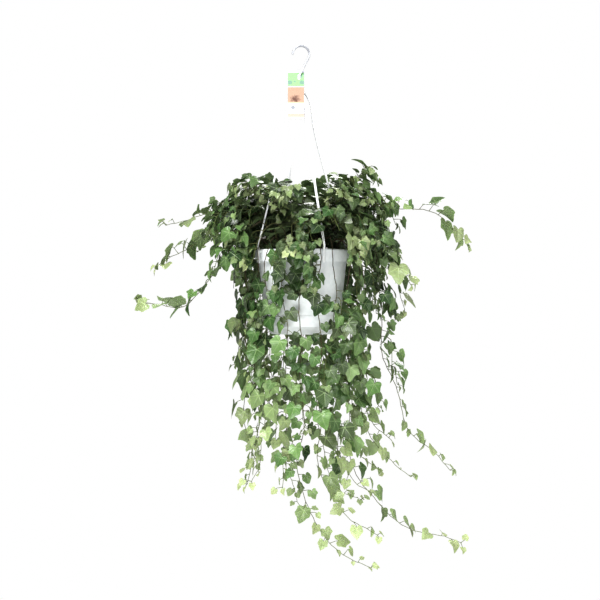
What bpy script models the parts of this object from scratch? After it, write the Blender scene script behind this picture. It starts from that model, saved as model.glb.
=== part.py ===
"""Ivy in a hanging pot: hanger, pot, clip-on saucer, soil, care label and the vines, each vine one
closed body with its leaves. Metres, +Z up. The origin is the inside crest of the hook, where the
object hangs, and -Y is its front."""
import math

import bmesh
import bpy
from mathutils import Matrix, Vector
from mathutils.bvhtree import BVHTree

# Fits
CLEARANCE = 0.0003  # between two pieces that touch
LEAF_ROOM = 0.0010  # kept free around each leaf

# Pot and saucer
RIM_RADIUS = 0.095
RIM_HEIGHT = 0.024
RIM_PROUD = 0.005  # how far the rim band stands out from the wall
RIM_SKIRT = 0.0020  # thickness of the folded rim band
WALL = 0.0022
STEP_RADIUS = 0.0768  # outside of the wall where the saucer begins
STEP_DEPTH = 0.130
POT_DEPTH = 0.1545
FOOT_TAPER = 0.002
SOIL_DEPTH = 0.018  # soil surface below the rim
SOIL_DOME = 0.004
DRAIN_RADIUS = 0.005
DRAIN_CIRCLE = 0.045
DRAIN_COUNT = 4
SAUCER_WALL = 0.0018
SAUCER_DROP = 0.0135  # saucer's underside below the pot's floor
SAUCER_BASE_RADIUS = 0.058
SAUCER_CORNER = 0.010
TURN_STEPS = 32

# Hanger
HANG_HEIGHT = 0.406  # hook crest to the top of the rim
HANG_OFFSET = 0.003  # the pot's axis stands this far right of the hook crest
HUB_OFFSET = -0.004
HUB_DROP = 0.082
HUB_RADIUS = 0.0075
HUB_HEIGHT = 0.012
HOOK_RADIUS = 0.0145  # inside the bend
HOOK_WIRE = 0.0021  # radius of the wire
HOOK_END = 178  # degrees round from +X, over the crest
SHANK_RISE = 0.024  # the shank stands straight this far above the hub's middle
STRAP_COUNT = 4
STRAP_START = -64.4  # azimuth of the front strap
STRAP_WIDTH = 0.0048
STRAP_THICKNESS = 0.0028
STRAP_SHOULDER = (0.0245, 0.030)  # out from the axis, down from the hub
STRAP_WAIST = (0.0365, 0.104)
CLIP_GRIP = 0.0040  # how far the clip reaches in under the rim band

# Care label
LABEL_WIDTH = 0.032
LABEL_LENGTH = 0.115
LABEL_THICKNESS = 0.0006
LABEL_CORNER = 0.004
LABEL_SLOT_PLAY = 0.0014  # around the hook's wire
LABEL_SLOT_INSET = 0.016
LABEL_LEAN = 26  # degrees, its lower end forward over the straps
LABEL_ACROSS = -0.006
LABEL_HANG = 0.022  # slot centre above the hub's middle

# Ivy
STEM_RADIUS = 0.0016
STEM_TIP_SHARE = 0.55
LEAF_LENGTH = 0.030
LEAF_THICKNESS = 0.0011
PETIOLE_LENGTH = 0.013
PETIOLE_WIDTH = 0.0016
INTERNODE = 0.060
STEM_STEP = 0.055
CROWN_BASE = 0.020  # the rooted end's distance from the pot's axis
SIDE_BASE = 0.045
TRAIL_INSET = 0.0198  # rooted this far in from the pot's inner face
TRAIL_CREST = 0.022  # over the rim
SWAY = 0.004
GOLDEN_SHARE = 0.618  # spreads the first leaves of neighbouring vines over an internode

# Crown shoots, one line each: rise over the rim, reach beyond the axis.
CROWN_SHOOTS = [
    (0.105, 0.110), (0.150, 0.120),
    (0.110, 0.100), (0.125, 0.120),
    (0.110, 0.110), (0.122, 0.110),
    (0.115, 0.100), (0.100, 0.085),
]
# Side shoots: rise over the rim, reach beyond the rim, height of the tip, turn of the tip in degrees,
# and how much of its height over the tip it keeps until late on its way.
SIDE_SHOOTS = [
    (0.055, 0.070, -0.020, 5, 0.6), (0.060, 0.130, -0.070, 10, 0.6),
    (0.085, 0.235, 0.015, 6, 0.9), (0.065, 0.120, -0.120, 0, 0.7),
    (0.055, 0.095, -0.050, 0, 0.6), (0.070, 0.135, 0.000, 5, 0.6),
    (0.050, 0.075, -0.080, 0, 0.6), (0.075, 0.155, 0.010, 0, 0.8),
    (0.055, 0.085, -0.060, 0, 0.6), (0.065, 0.145, 0.000, 5, 0.7),
    (0.085, 0.180, 0.050, 5, 0.6), (0.070, 0.195, -0.035, -8, 0.5),
    (0.045, 0.235, -0.105, -28, 0.0), (0.050, 0.070, -0.030, -6, 0.6),
    (0.045, 0.055, -0.010, 0, 0.6), (0.060, 0.065, 0.000, 0, 0.6),
]
# Trailing vines, five between each two straps: distance from the rim, straight drop, further drop
# of the swung end, its sideways reach, and the direction of that swing in degrees.
TRAILING_VINES = [
    (0.016, 0.350, 0.120, 0.070, -5), (0.020, 0.390, 0.184, 0.215, 0),
    (0.030, 0.260, 0.190, 0.100, 5), (0.055, 0.060, 0.380, 0.145, 0),
    (0.028, 0.240, 0.140, 0.060, 20),
    (0.018, 0.330, 0.120, 0.070, 25), (0.022, 0.200, 0.100, 0.050, 50),
    (0.016, 0.380, 0.140, 0.100, 30), (0.020, 0.260, 0.120, 0.050, 70),
    (0.016, 0.400, 0.150, 0.090, 60),
    (0.022, 0.220, 0.100, 0.040, 130), (0.017, 0.310, 0.120, 0.050, 100),
    (0.024, 0.130, 0.100, 0.020, 160), (0.018, 0.280, 0.150, 0.025, 20),
    (0.022, 0.170, 0.120, 0.015, 340),
    (0.017, 0.270, 0.190, 0.020, 180), (0.020, 0.300, 0.150, 0.030, 200),
    (0.016, 0.360, 0.100, 0.015, 250), (0.017, 0.420, 0.194, 0.138, -3),
    (0.021, 0.380, 0.170, 0.115, -8),
]

RIM_Z = -HANG_HEIGHT
WALL_TOP_RADIUS = RIM_RADIUS - RIM_PROUD
TRAIL_BASE = WALL_TOP_RADIUS - WALL - TRAIL_INSET
HUB = Vector((HUB_OFFSET, 0, -HUB_DROP))


# Scene and materials

def clear_scene():
    for obj in list(bpy.data.objects):
        bpy.data.objects.remove(obj, do_unlink=True)


def new_collection(name):
    made = bpy.data.collections.new(name)
    bpy.context.scene.collection.children.link(made)
    return made


def new_material(name, color, roughness):
    made = bpy.data.materials.new(name)
    made.use_nodes = True
    shader = made.node_tree.nodes["Principled BSDF"]
    shader.inputs["Base Color"].default_value = (*color, 1)
    shader.inputs["Roughness"].default_value = roughness
    shader.inputs["Metallic"].default_value = 0
    return made


def add_object(name, data, collection, material=None):
    made = bpy.data.objects.new(name, data)
    collection.objects.link(made)
    if material:
        data.materials.append(material)
    return made


def as_helper(obj):
    obj.hide_render = True
    obj.display_type = "WIRE"
    return obj


def mesh_from(obj):
    """The object's evaluated shape as one welded mesh in world space; the object is removed."""
    bpy.context.view_layer.update()
    graph = bpy.context.evaluated_depsgraph_get()
    mesh = bpy.data.meshes.new_from_object(obj.evaluated_get(graph))
    mesh.transform(obj.matrix_world)
    shape = bmesh.new()
    shape.from_mesh(mesh)
    bmesh.ops.remove_doubles(shape, verts=shape.verts, dist=0.00001)
    shape.to_mesh(mesh)
    shape.free()
    bpy.data.objects.remove(obj, do_unlink=True)
    return mesh


def unite(obj, tool):
    modifier = obj.modifiers.new("join " + tool.name, "BOOLEAN")
    modifier.operation = "UNION"
    modifier.solver = "EXACT"
    modifier.object = tool


# Shapes

def turned(name, profile, collection, material=None):
    """A solid of revolution about the pot's axis. The profile holds (radius, height) pairs, its
    outer side from top to bottom."""
    mesh = bpy.data.meshes.new(name)
    points = [(radius, 0, height) for radius, height in profile]
    mesh.from_pydata(points, [(i, i + 1) for i in range(len(points) - 1)], [])
    made = add_object(name, mesh, collection, material)
    screw = made.modifiers.new("turn", "SCREW")
    screw.steps = screw.render_steps = TURN_STEPS
    screw.use_merge_vertices = True
    screw.merge_threshold = 0.00005
    made.location = (HANG_OFFSET, 0, RIM_Z)
    return made


def arc(center, radius, start, end, count):
    """Points (x, y) along an arc, angles in degrees."""
    angles = [math.radians(start + (end - start) * i / count) for i in range(count + 1)]
    return [(center[0] + radius * math.cos(a), center[1] + radius * math.sin(a)) for a in angles]


def extruded(name, outline, thickness, helpers):
    """A flat closed outline in the XY plane, made a solid of the given thickness."""
    curve = bpy.data.curves.new(name, "CURVE")
    curve.dimensions = "2D"
    curve.fill_mode = "BOTH"
    curve.extrude = thickness / 2
    spline = curve.splines.new("POLY")
    spline.points.add(len(outline) - 1)
    for point, (x, y) in zip(spline.points, outline):
        point.co = (x, y, 0, 1)
    spline.use_cyclic_u = True
    return mesh_from(add_object(name, curve, helpers))


def tube(name, points, radius, helpers, tip_share=1.0):
    """A round stem or wire along the points, thinning to tip_share of its radius."""
    curve = bpy.data.curves.new(name, "CURVE")
    curve.dimensions = "3D"
    curve.bevel_depth = radius
    curve.bevel_resolution = 1
    curve.use_fill_caps = True
    spline = curve.splines.new("POLY")
    spline.points.add(len(points) - 1)
    last = len(points) - 1
    for i, (point, place) in enumerate(zip(spline.points, points)):
        point.co = (*place, 1)
        point.radius = 1 + (tip_share - 1) * i / last
    return mesh_from(add_object(name, curve, helpers))


def smooth_path(points, spacing):
    """Points about the given spacing apart on a Catmull-Rom curve through the given points."""
    points = [Vector(p) for p in points]
    ends = [points[0] * 2 - points[1], *points, points[-1] * 2 - points[-2]]
    path = []
    for a, b, c, d in zip(ends, ends[1:], ends[2:], ends[3:]):
        count = max(1, round((c - b).length / spacing))
        for i in range(count):
            t = i / count
            path.append(
                (b * 2 + (c - a) * t + (a * 2 - b * 5 + c * 4 - d) * t**2
                 + (b * 3 - a - c * 3 + d) * t**3) / 2
            )
    return [*path, points[-1]]


def ribbon(center_line, thickness):
    """The closed outline of a strip of even thickness about a line of (x, y) points."""
    line = [Vector(p) for p in center_line]
    left, right = [], []
    for i, point in enumerate(line):
        before = (point - line[i - 1]).normalized() if i else (line[1] - point).normalized()
        after = (line[i + 1] - point).normalized() if i < len(line) - 1 else before
        across = (before + after).normalized().orthogonal()
        half = thickness / 2 / max(0.5, across.dot(before.orthogonal()))
        left.append(point + across * half)
        right.append(point - across * half)
    return [*left, *reversed(right)]


# Pot, saucer and soil

def outer_wall(depth):
    """Outside radius of the pot's wall at a depth below the rim."""
    return WALL_TOP_RADIUS + (STEP_RADIUS - WALL_TOP_RADIUS) * depth / STEP_DEPTH


def foot_radius():
    return STEP_RADIUS - SAUCER_WALL - CLEARANCE


def pot_inside():
    """(radius, depth) of the pot's inner face, from the rim down to the floor."""
    floor = POT_DEPTH - WALL
    return [
        (outer_wall(0.004) - WALL, 0.004),
        (outer_wall(STEP_DEPTH) - WALL, STEP_DEPTH - WALL),
        (foot_radius() - WALL, STEP_DEPTH + WALL),
        (foot_radius() - WALL - FOOT_TAPER, floor),
    ]


def make_pot(collection, helpers, material):
    inside = [(radius, -depth) for radius, depth in pot_inside()]
    bead = RIM_PROUD + WALL
    rim = arc((RIM_RADIUS - bead / 2, -bead / 2), bead / 2, 180, 0, 5)
    under_band = -bead / 2 - RIM_SKIRT / 2
    profile = [
        (0, inside[-1][1]), *reversed(inside), *rim[1:],
        (RIM_RADIUS, -RIM_HEIGHT), (RIM_RADIUS - RIM_SKIRT, -RIM_HEIGHT),
        (RIM_RADIUS - RIM_SKIRT, under_band), (outer_wall(-under_band), under_band),
        (STEP_RADIUS, -STEP_DEPTH), (foot_radius(), -STEP_DEPTH),
        (foot_radius() - FOOT_TAPER, -POT_DEPTH), (0, -POT_DEPTH),
    ]
    pot = turned("pot", profile, collection, material)
    for i in range(DRAIN_COUNT):
        angle = math.tau * (i + 0.5) / DRAIN_COUNT
        shape = bmesh.new()
        bmesh.ops.create_cone(
            shape, cap_ends=True, segments=8, radius1=DRAIN_RADIUS, radius2=DRAIN_RADIUS,
            depth=WALL * 4,
        )
        mesh = bpy.data.meshes.new(f"drain_{i + 1}")
        shape.to_mesh(mesh)
        shape.free()
        hole = as_helper(add_object(mesh.name, mesh, helpers))
        hole.location = (
            HANG_OFFSET + DRAIN_CIRCLE * math.cos(angle), DRAIN_CIRCLE * math.sin(angle),
            RIM_Z - POT_DEPTH + WALL / 2,
        )
        cut = pot.modifiers.new("cut " + hole.name, "BOOLEAN")
        cut.operation = "DIFFERENCE"
        cut.solver = "EXACT"
        cut.object = hole


def make_saucer(collection, material):
    top = -STEP_DEPTH - CLEARANCE
    base = -POT_DEPTH - SAUCER_DROP
    corner = (SAUCER_BASE_RADIUS, base + SAUCER_CORNER)
    inner_corner = SAUCER_CORNER - SAUCER_WALL
    shoulder = corner[0] + SAUCER_CORNER * math.cos(math.radians(20))
    shoulder_z = corner[1] - SAUCER_CORNER * math.sin(math.radians(20))
    profile = [
        (0, base + SAUCER_WALL),
        *reversed(arc(corner, inner_corner, -20, -90, 3)),
        (STEP_RADIUS - SAUCER_WALL, -POT_DEPTH + FOOT_TAPER),
        (STEP_RADIUS - SAUCER_WALL, top), (STEP_RADIUS, top),
        (STEP_RADIUS, -POT_DEPTH + FOOT_TAPER), (shoulder, shoulder_z),
        *arc(corner, SAUCER_CORNER, -20, -90, 3)[1:],
        (0, base),
    ]
    turned("saucer", profile, collection, material)


def make_soil(collection, material):
    inside = pot_inside()
    top_radius = outer_wall(SOIL_DEPTH) - WALL - CLEARANCE
    profile = [(0, -SOIL_DEPTH + SOIL_DOME), (top_radius * 0.6, -SOIL_DEPTH + SOIL_DOME * 0.6)]
    profile.append((top_radius, -SOIL_DEPTH))
    profile += [(radius - CLEARANCE, -depth) for radius, depth in inside[1:3]]
    profile.append((inside[3][0] - CLEARANCE, -inside[3][1] + CLEARANCE))
    profile.append((0, -inside[3][1] + CLEARANCE))
    turned("soil", profile, collection, material)


# Hanger and label

def strap_line():
    """(out from the axis, height) along a strap's middle, from the hub to the clip's tip."""
    outside = RIM_RADIUS + CLEARANCE + STRAP_THICKNESS / 2
    below = RIM_Z - RIM_HEIGHT - CLEARANCE - STRAP_THICKNESS / 2
    upper = smooth_path(
        [
            (0.002, -HUB_DROP, 0),
            (STRAP_SHOULDER[0], -HUB_DROP - STRAP_SHOULDER[1], 0),
            (STRAP_WAIST[0], -HUB_DROP - STRAP_WAIST[1], 0),
            (outside, RIM_Z + RIM_SKIRT * 4, 0),
        ],
        0.030,
    )
    clip_tip = outside + STRAP_THICKNESS / 2 - CLIP_GRIP - CLEARANCE
    return [(p.x, p.y) for p in upper] + [(outside, below), (clip_tip, below)]


def hook_line():
    """The wire's middle, from the hub up the shank and over the crest."""
    middle = HOOK_RADIUS + HOOK_WIRE
    bend = [Vector((x, 0, z)) for x, z in arc((0, -HOOK_RADIUS), middle, -28, HOOK_END, 12)]
    foot = HUB + Vector((0, 0, HUB_HEIGHT / 4))
    straight = HUB + Vector((0, 0, SHANK_RISE))
    return [foot, *smooth_path([straight, bend[0]], 0.012), *bend[1:]]


def make_hanger(collection, helpers, material):
    shape = bmesh.new()
    bmesh.ops.create_cone(
        shape, cap_ends=True, segments=16, radius1=HUB_RADIUS * 0.8, radius2=HUB_RADIUS,
        depth=HUB_HEIGHT, matrix=Matrix.Translation(HUB),
    )
    mesh = bpy.data.meshes.new("hanger")
    shape.to_mesh(mesh)
    shape.free()
    hanger = add_object("hanger", mesh, collection, material)
    hook = as_helper(add_object("hook", tube("hook", hook_line(), HOOK_WIRE, helpers), helpers))
    unite(hanger, hook)
    strap = extruded("strap", ribbon(strap_line(), STRAP_THICKNESS), STRAP_WIDTH, helpers)
    for i in range(STRAP_COUNT):
        angle = math.radians(STRAP_START) + math.tau * i / STRAP_COUNT
        out = Vector((math.cos(angle), math.sin(angle), 0))
        turn = Matrix((out, (0, 0, 1), out.cross((0, 0, 1)))).transposed().to_4x4()
        piece = strap.copy()
        piece.transform(Matrix.Translation((HANG_OFFSET, 0, 0)) @ turn)
        lean_to_hub(piece)
        unite(hanger, as_helper(add_object(f"strap_{i + 1}", piece, helpers)))
    return hanger


def lean_to_hub(mesh):
    """Leans a strap above the rim, so that its top meets the hub beside the pot's axis."""
    top = HANG_HEIGHT - HUB_DROP
    for vertex in mesh.vertices:
        share = max(0.0, (vertex.co.z - RIM_Z - RIM_SKIRT * 4) / top)
        vertex.co.x += (HUB_OFFSET - HANG_OFFSET) * share


def make_label(collection, helpers, material):
    half = LABEL_WIDTH / 2 - LABEL_CORNER
    below = LABEL_SLOT_INSET - LABEL_LENGTH + LABEL_CORNER
    above = LABEL_SLOT_INSET - LABEL_CORNER
    outline = [
        *arc((half, above), LABEL_CORNER, 0, 90, 3), *arc((-half, above), LABEL_CORNER, 90, 180, 3),
        *arc((-half, below), LABEL_CORNER, 180, 270, 3),
        *arc((half, below), LABEL_CORNER, 270, 360, 3),
    ]
    # The upright wire crosses the leaning plate, so the slot is longer than it is wide.
    lean = math.radians(LABEL_LEAN)
    crossing = HOOK_WIRE * 2 / math.sin(lean) + LABEL_THICKNESS / math.tan(lean)
    slot_radius = HOOK_WIRE + LABEL_SLOT_PLAY
    straight = crossing / 2 + LABEL_SLOT_PLAY - slot_radius
    slot = arc((0, straight), slot_radius, 0, 180, 4)
    slot += arc((0, -straight), slot_radius, 180, 360, 4)
    place = Matrix.Translation(HUB + Vector((0, 0, LABEL_HANG)))
    place @= Matrix.Rotation(math.radians(90) - lean, 4, "X")
    plate = extruded("care_label", outline, LABEL_THICKNESS, helpers)
    plate.transform(Matrix.Translation((LABEL_ACROSS, 0, 0)))
    plate.transform(place)
    label = add_object("care_label", plate, collection, material)
    cutter = extruded("label_slot", slot, LABEL_THICKNESS * 8, helpers)
    cutter.transform(place)
    cut = label.modifiers.new("slot", "BOOLEAN")
    cut.operation = "DIFFERENCE"
    cut.solver = "EXACT"
    cut.object = as_helper(add_object("label_slot", cutter, helpers))
    return label


# Vines

def around(azimuth, radius, height):
    """A point by its azimuth in degrees and distance from the pot's axis, and its height over the rim."""
    angle = math.radians(azimuth)
    return Vector(
        (HANG_OFFSET + radius * math.cos(angle), radius * math.sin(angle), RIM_Z + height)
    )


def soil_top(radius):
    return -SOIL_DEPTH + SOIL_DOME * max(0.0, 1 - radius / WALL_TOP_RADIUS) + CLEARANCE


def crown_route(azimuth, rise, reach):
    root = soil_top(CROWN_BASE) + STEM_RADIUS
    return [
        around(azimuth, CROWN_BASE, root), around(azimuth, CROWN_BASE + 0.003, root + 0.025),
        around(azimuth, CROWN_BASE + (reach - CROWN_BASE) * 0.35, rise * 0.70),
        around(azimuth, reach, rise),
    ]


def side_route(azimuth, rise, reach, tip, turn, kept):
    root = soil_top(SIDE_BASE) + STEM_RADIUS
    end = RIM_RADIUS + reach
    over = RIM_RADIUS + 0.006
    return [
        around(azimuth, SIDE_BASE, root), around(azimuth, SIDE_BASE + 0.004, root + 0.022),
        around(azimuth, over - 0.020, rise * 0.82), around(azimuth + turn * 0.15, over + 0.015, rise),
        around(azimuth + turn * 0.55, over + (end - over) * 0.6, tip + (rise - tip) * kept),
        around(azimuth + turn, end, tip),
    ]


def trailing_route(azimuth, out, drop, turn_drop, swing, heading):
    root = soil_top(TRAIL_BASE) + STEM_RADIUS
    hang = RIM_RADIUS + out
    route = [
        around(azimuth, TRAIL_BASE, root), around(azimuth, TRAIL_BASE + 0.006, TRAIL_CREST * 0.55),
        around(azimuth, RIM_RADIUS - 0.001, TRAIL_CREST), around(azimuth, hang - 0.003, -0.006),
    ]
    count = max(1, round(drop / 0.075))
    for i in range(1, count + 1):
        phase = azimuth * 0.11 + i * 1.9
        sway = Vector((math.cos(phase), math.sin(phase * 0.7), 0)) * SWAY * min(1, i / 2)
        route.append(around(azimuth, hang, -drop * i / count) + sway)
    end = route[-1]
    toward = Vector((math.cos(math.radians(heading)), math.sin(math.radians(heading)), 0))
    for angle in (25, 50, 75):
        bend = math.radians(angle)
        route.append(end + toward * swing * (1 - math.cos(bend)) / (1 - math.cos(math.radians(75)))
                     - Vector((0, 0, turn_drop * math.sin(bend) / math.sin(math.radians(75)))))
    return route


def leaf_outline(petiole):
    """A five-cornered ivy leaf with its petiole, which starts at the origin and runs along +X."""
    lobe = LEAF_LENGTH * 0.48
    neck = PETIOLE_WIDTH / 2
    blade = [
        (petiole, -neck), (petiole - LEAF_LENGTH * 0.12, -lobe * 0.75),
        (petiole + LEAF_LENGTH * 0.38, -lobe), (petiole + LEAF_LENGTH, 0),
        (petiole + LEAF_LENGTH * 0.38, lobe), (petiole - LEAF_LENGTH * 0.12, lobe * 0.75),
        (petiole, neck),
    ]
    return [(0, neck), (0, -neck), *blade]


def leaf_frame(place, along, facing):
    side = facing.cross(along).normalized()
    normal = along.cross(side)
    turn = Matrix((along, side, normal)).transposed().to_4x4()
    return Matrix.Translation(place) @ turn


def tree_of(mesh, place=None):
    points = [place @ v.co if place else v.co.copy() for v in mesh.vertices]
    return BVHTree.FromPolygons(points, [tuple(p.vertices) for p in mesh.polygons])


def has_room(tree, obstacles):
    return not any(tree.overlap(other) for other in obstacles)


def leaf_stations(path, first):
    """(place, direction) every INTERNODE along the path, from the given distance to its tip."""
    stations = []
    travelled, wanted = 0.0, first
    for start, end in zip(path, path[1:]):
        length = (end - start).length
        while wanted <= travelled + length:
            direction = (end - start).normalized()
            stations.append((start + direction * (wanted - travelled), direction))
            wanted += INTERNODE
        travelled += length
    return stations


def leaf_directions(place, stem, index):
    """Ways in which a leaf may stand at one place, the best first: out from the stem to
    alternate sides, with its face to the light."""
    outward = Vector((place.x - HANG_OFFSET, place.y, 0)).normalized()
    light = (outward * 0.8 + Vector((0, 0, 0.7))).normalized()
    across = stem.cross(light).normalized()
    out = across.cross(stem).normalized()
    if index % 2:
        across = -across
    for degrees in (35, 65, 10, 100, -30, 150):
        angle = math.radians(degrees)
        along = (across * math.cos(angle) + out * math.sin(angle) + stem * 0.35).normalized()
        facing = (light - along * light.dot(along)).normalized()
        yield along, facing


def grow_leaves(name, path, first, blade, probe, obstacles, helpers):
    """The vine's leaves as one mesh. A leaf grows only where it has room."""
    leaves = bmesh.new()
    for index, (place, stem) in enumerate(leaf_stations(path, first)):
        for along, facing in leaf_directions(place, stem, index):
            frame = leaf_frame(place, along, facing)
            tree = tree_of(probe, frame)
            if has_room(tree, obstacles):
                copy = blade.copy()
                copy.transform(frame)
                leaves.from_mesh(copy)
                bpy.data.meshes.remove(copy)
                obstacles.append(tree)
                break
    mesh = bpy.data.meshes.new(name)
    leaves.to_mesh(mesh)
    leaves.free()
    return as_helper(add_object(name, mesh, helpers)) if mesh.vertices else None


def vine_routes():
    """(name, route, distance along it to the first leaf) of every vine. They stand evenly
    between the straps, so that none grows through a strap."""
    quarter = 360 / STRAP_COUNT
    tiers = [
        ("crown_shoot_{}", CROWN_SHOOTS, crown_route, 0.045),
        ("side_shoot_{:02d}", SIDE_SHOOTS, side_route, 0.060),
        ("trailing_vine_{:02d}", TRAILING_VINES, trailing_route, 0.070),
    ]
    for label, rows, route, first in tiers:
        per_quarter = len(rows) / STRAP_COUNT
        for i, row in enumerate(rows):
            azimuth = STRAP_START + quarter * (i + 0.5) / per_quarter
            later = INTERNODE * (i * GOLDEN_SHARE % 1)
            yield label.format(i + 1), route(azimuth, *row), first + later


def make_vines(collection, helpers, material, made):
    # Stems first, so that each leaf is tested against all of them.
    stems = []
    for name, route, first in vine_routes():
        path = smooth_path(route, STEM_STEP)
        mesh = tube(name, path, STEM_RADIUS, helpers, STEM_TIP_SHARE)
        stems.append((add_object(name, mesh, collection, material), path, first))
    bpy.context.view_layer.update()
    graph = bpy.context.evaluated_depsgraph_get()
    obstacles = []
    for obj in made:
        solid = obj.evaluated_get(graph).to_mesh()
        obstacles.append(tree_of(solid, obj.matrix_world))
        obj.evaluated_get(graph).to_mesh_clear()
    obstacles += [tree_of(stem.data) for stem, path, first in stems]
    blade = extruded("leaf", leaf_outline(PETIOLE_LENGTH), LEAF_THICKNESS, helpers)
    probe = room_around(blade)
    for stem, path, first in stems:
        leaves = grow_leaves(stem.name + "_leaves", path, first, blade, probe, obstacles, helpers)
        if leaves:
            unite(stem, leaves)


def room_around(blade):
    """The space that a leaf needs: the leaf swollen by LEAF_ROOM, clear of its own stem."""
    probe = blade.copy()
    start = STEM_RADIUS * 2 + LEAF_ROOM
    middle = PETIOLE_LENGTH + LEAF_LENGTH * 0.4
    for vertex in probe.vertices:
        swell = 1 + LEAF_ROOM / (LEAF_LENGTH * 0.4)
        vertex.co.x = max(start, middle + (vertex.co.x - middle) * swell)
        vertex.co.y *= swell
        vertex.co.z += math.copysign(LEAF_ROOM, vertex.co.z)
    return probe


def main():
    clear_scene()
    parts = new_collection("potted_ivy")
    helpers = new_collection("cutters")
    white = new_material("white_pot_plastic", (0.86, 0.87, 0.88), 0.35)
    hanger_white = new_material("white_hanger_plastic", (0.90, 0.90, 0.90), 0.30)
    earth = new_material("potting_soil", (0.035, 0.024, 0.016), 0.95)
    card = new_material("label_plastic", (0.80, 0.84, 0.74), 0.40)
    green = new_material("ivy_green", (0.060, 0.160, 0.045), 0.45)
    make_pot(parts, helpers, white)
    make_saucer(parts, white)
    make_soil(parts, earth)
    make_hanger(parts, helpers, hanger_white)
    make_label(parts, helpers, card)
    make_vines(parts, helpers, green, list(parts.objects))
    for obj in parts.objects:
        if obj.name in ("pot", "saucer", "soil"):
            obj.data.shade_smooth()


main()
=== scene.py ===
import math
import random

import bmesh
import bpy
import numpy as np
from mathutils import Matrix, Vector
from mathutils.bvhtree import BVHTree


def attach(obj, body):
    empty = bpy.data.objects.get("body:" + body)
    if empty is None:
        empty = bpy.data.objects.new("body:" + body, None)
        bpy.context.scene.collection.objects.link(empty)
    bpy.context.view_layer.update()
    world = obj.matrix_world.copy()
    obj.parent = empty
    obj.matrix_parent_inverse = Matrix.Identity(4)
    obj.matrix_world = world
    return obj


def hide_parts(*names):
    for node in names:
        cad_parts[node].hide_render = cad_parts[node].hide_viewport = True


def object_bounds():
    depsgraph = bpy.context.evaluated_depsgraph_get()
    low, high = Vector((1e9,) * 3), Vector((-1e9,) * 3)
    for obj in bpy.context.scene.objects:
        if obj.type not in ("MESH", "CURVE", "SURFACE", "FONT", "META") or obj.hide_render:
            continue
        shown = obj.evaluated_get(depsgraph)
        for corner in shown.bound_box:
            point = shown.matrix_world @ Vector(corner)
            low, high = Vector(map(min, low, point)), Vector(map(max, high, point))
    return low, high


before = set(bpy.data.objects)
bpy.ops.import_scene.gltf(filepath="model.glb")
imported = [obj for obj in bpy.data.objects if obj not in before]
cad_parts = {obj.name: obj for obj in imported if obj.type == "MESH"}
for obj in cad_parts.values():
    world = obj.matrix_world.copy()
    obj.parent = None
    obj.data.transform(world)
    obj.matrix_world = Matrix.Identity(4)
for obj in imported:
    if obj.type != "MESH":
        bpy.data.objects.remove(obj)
cadLow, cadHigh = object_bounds()
print("frame loaded:", len(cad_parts), "nodes")


def linear(hexColour):
    # sRGB hex to the linear colour that the sockets take
    parts = [int(hexColour[i:i + 2], 16) / 255 for i in (1, 3, 5)]
    return (*[p / 12.92 if p <= 0.04045 else ((p + 0.055) / 1.055) ** 2.4 for p in parts], 1)


def fillInputs(tree, node, inputs):
    # an input takes a value, an output, or a node, which stands for its first output in use
    for key, value in inputs.items():
        if isinstance(value, bpy.types.Node):
            value = next(output for output in value.outputs if output.enabled)
        if isinstance(value, bpy.types.NodeSocket):
            tree.links.new(value, node.inputs[key])
        else:
            node.inputs[key].default_value = value


def addNode(tree, kind, inputs=None, stops=None, **settings):
    # stops fills a colour ramp
    node = tree.nodes.new("ShaderNode" + kind)
    for name, value in settings.items():
        setattr(node, name, value)
    fillInputs(tree, node, inputs or {})
    for i, (place, hexColour) in enumerate(stops or []):
        steps = node.color_ramp.elements
        step = steps[i] if i < 2 else steps.new(place)
        step.position = place
        step.color = linear(hexColour)
    return node


def newMaterial(name):
    made = bpy.data.materials.new(name)
    made.use_nodes = True
    return made, made.node_tree, made.node_tree.nodes["Principled BSDF"]


def addObject(name, data):
    made = bpy.data.objects.new(name, data)
    bpy.context.scene.collection.objects.link(made)
    return made


def meshFrom(shape, name):
    mesh = bpy.data.meshes.new(name)
    shape.to_mesh(mesh)
    shape.free()
    return mesh


def shadeEdges(mesh, degrees):
    # smooth, with sharp edges where the faces meet at more than this angle
    mesh.shade_smooth()
    mesh.set_sharp_from_angle(angle=math.radians(degrees))


def addPiece(name, mesh, materials, replaced):
    piece = addObject(name, mesh)
    for material in materials:
        mesh.materials.append(material)
    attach(piece, "root")
    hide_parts(replaced)
    return piece


# Studio: a white room without walls, so that the plant can be seen from all sides.
studio = {
    "lookFrom": (-0.002, -3.0, -0.506),
    "lens": 90,
    "surround": 1.0,  # how bright the room looks
    "ambient": 0.48,  # how much of that falls on the plant
    "gamma": 0.80,
    "floorHeight": -1.6,
    "floorRadius": 2.4,
    "lights": (
        # name, place, width, watts
        ("keyLight", (-1.0, -1.9, 1.9), 1.2, 128),
        ("lowLight", (-0.6, -2.7, -1.05), 1.3, 46),
        ("fillLight", (2.0, -1.5, 0.5), 1.8, 34),
        ("backLight", (0.4, 2.4, 1.2), 1.8, 60),
    ),
    "aimAt": (0, 0, -0.48),
}


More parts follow.
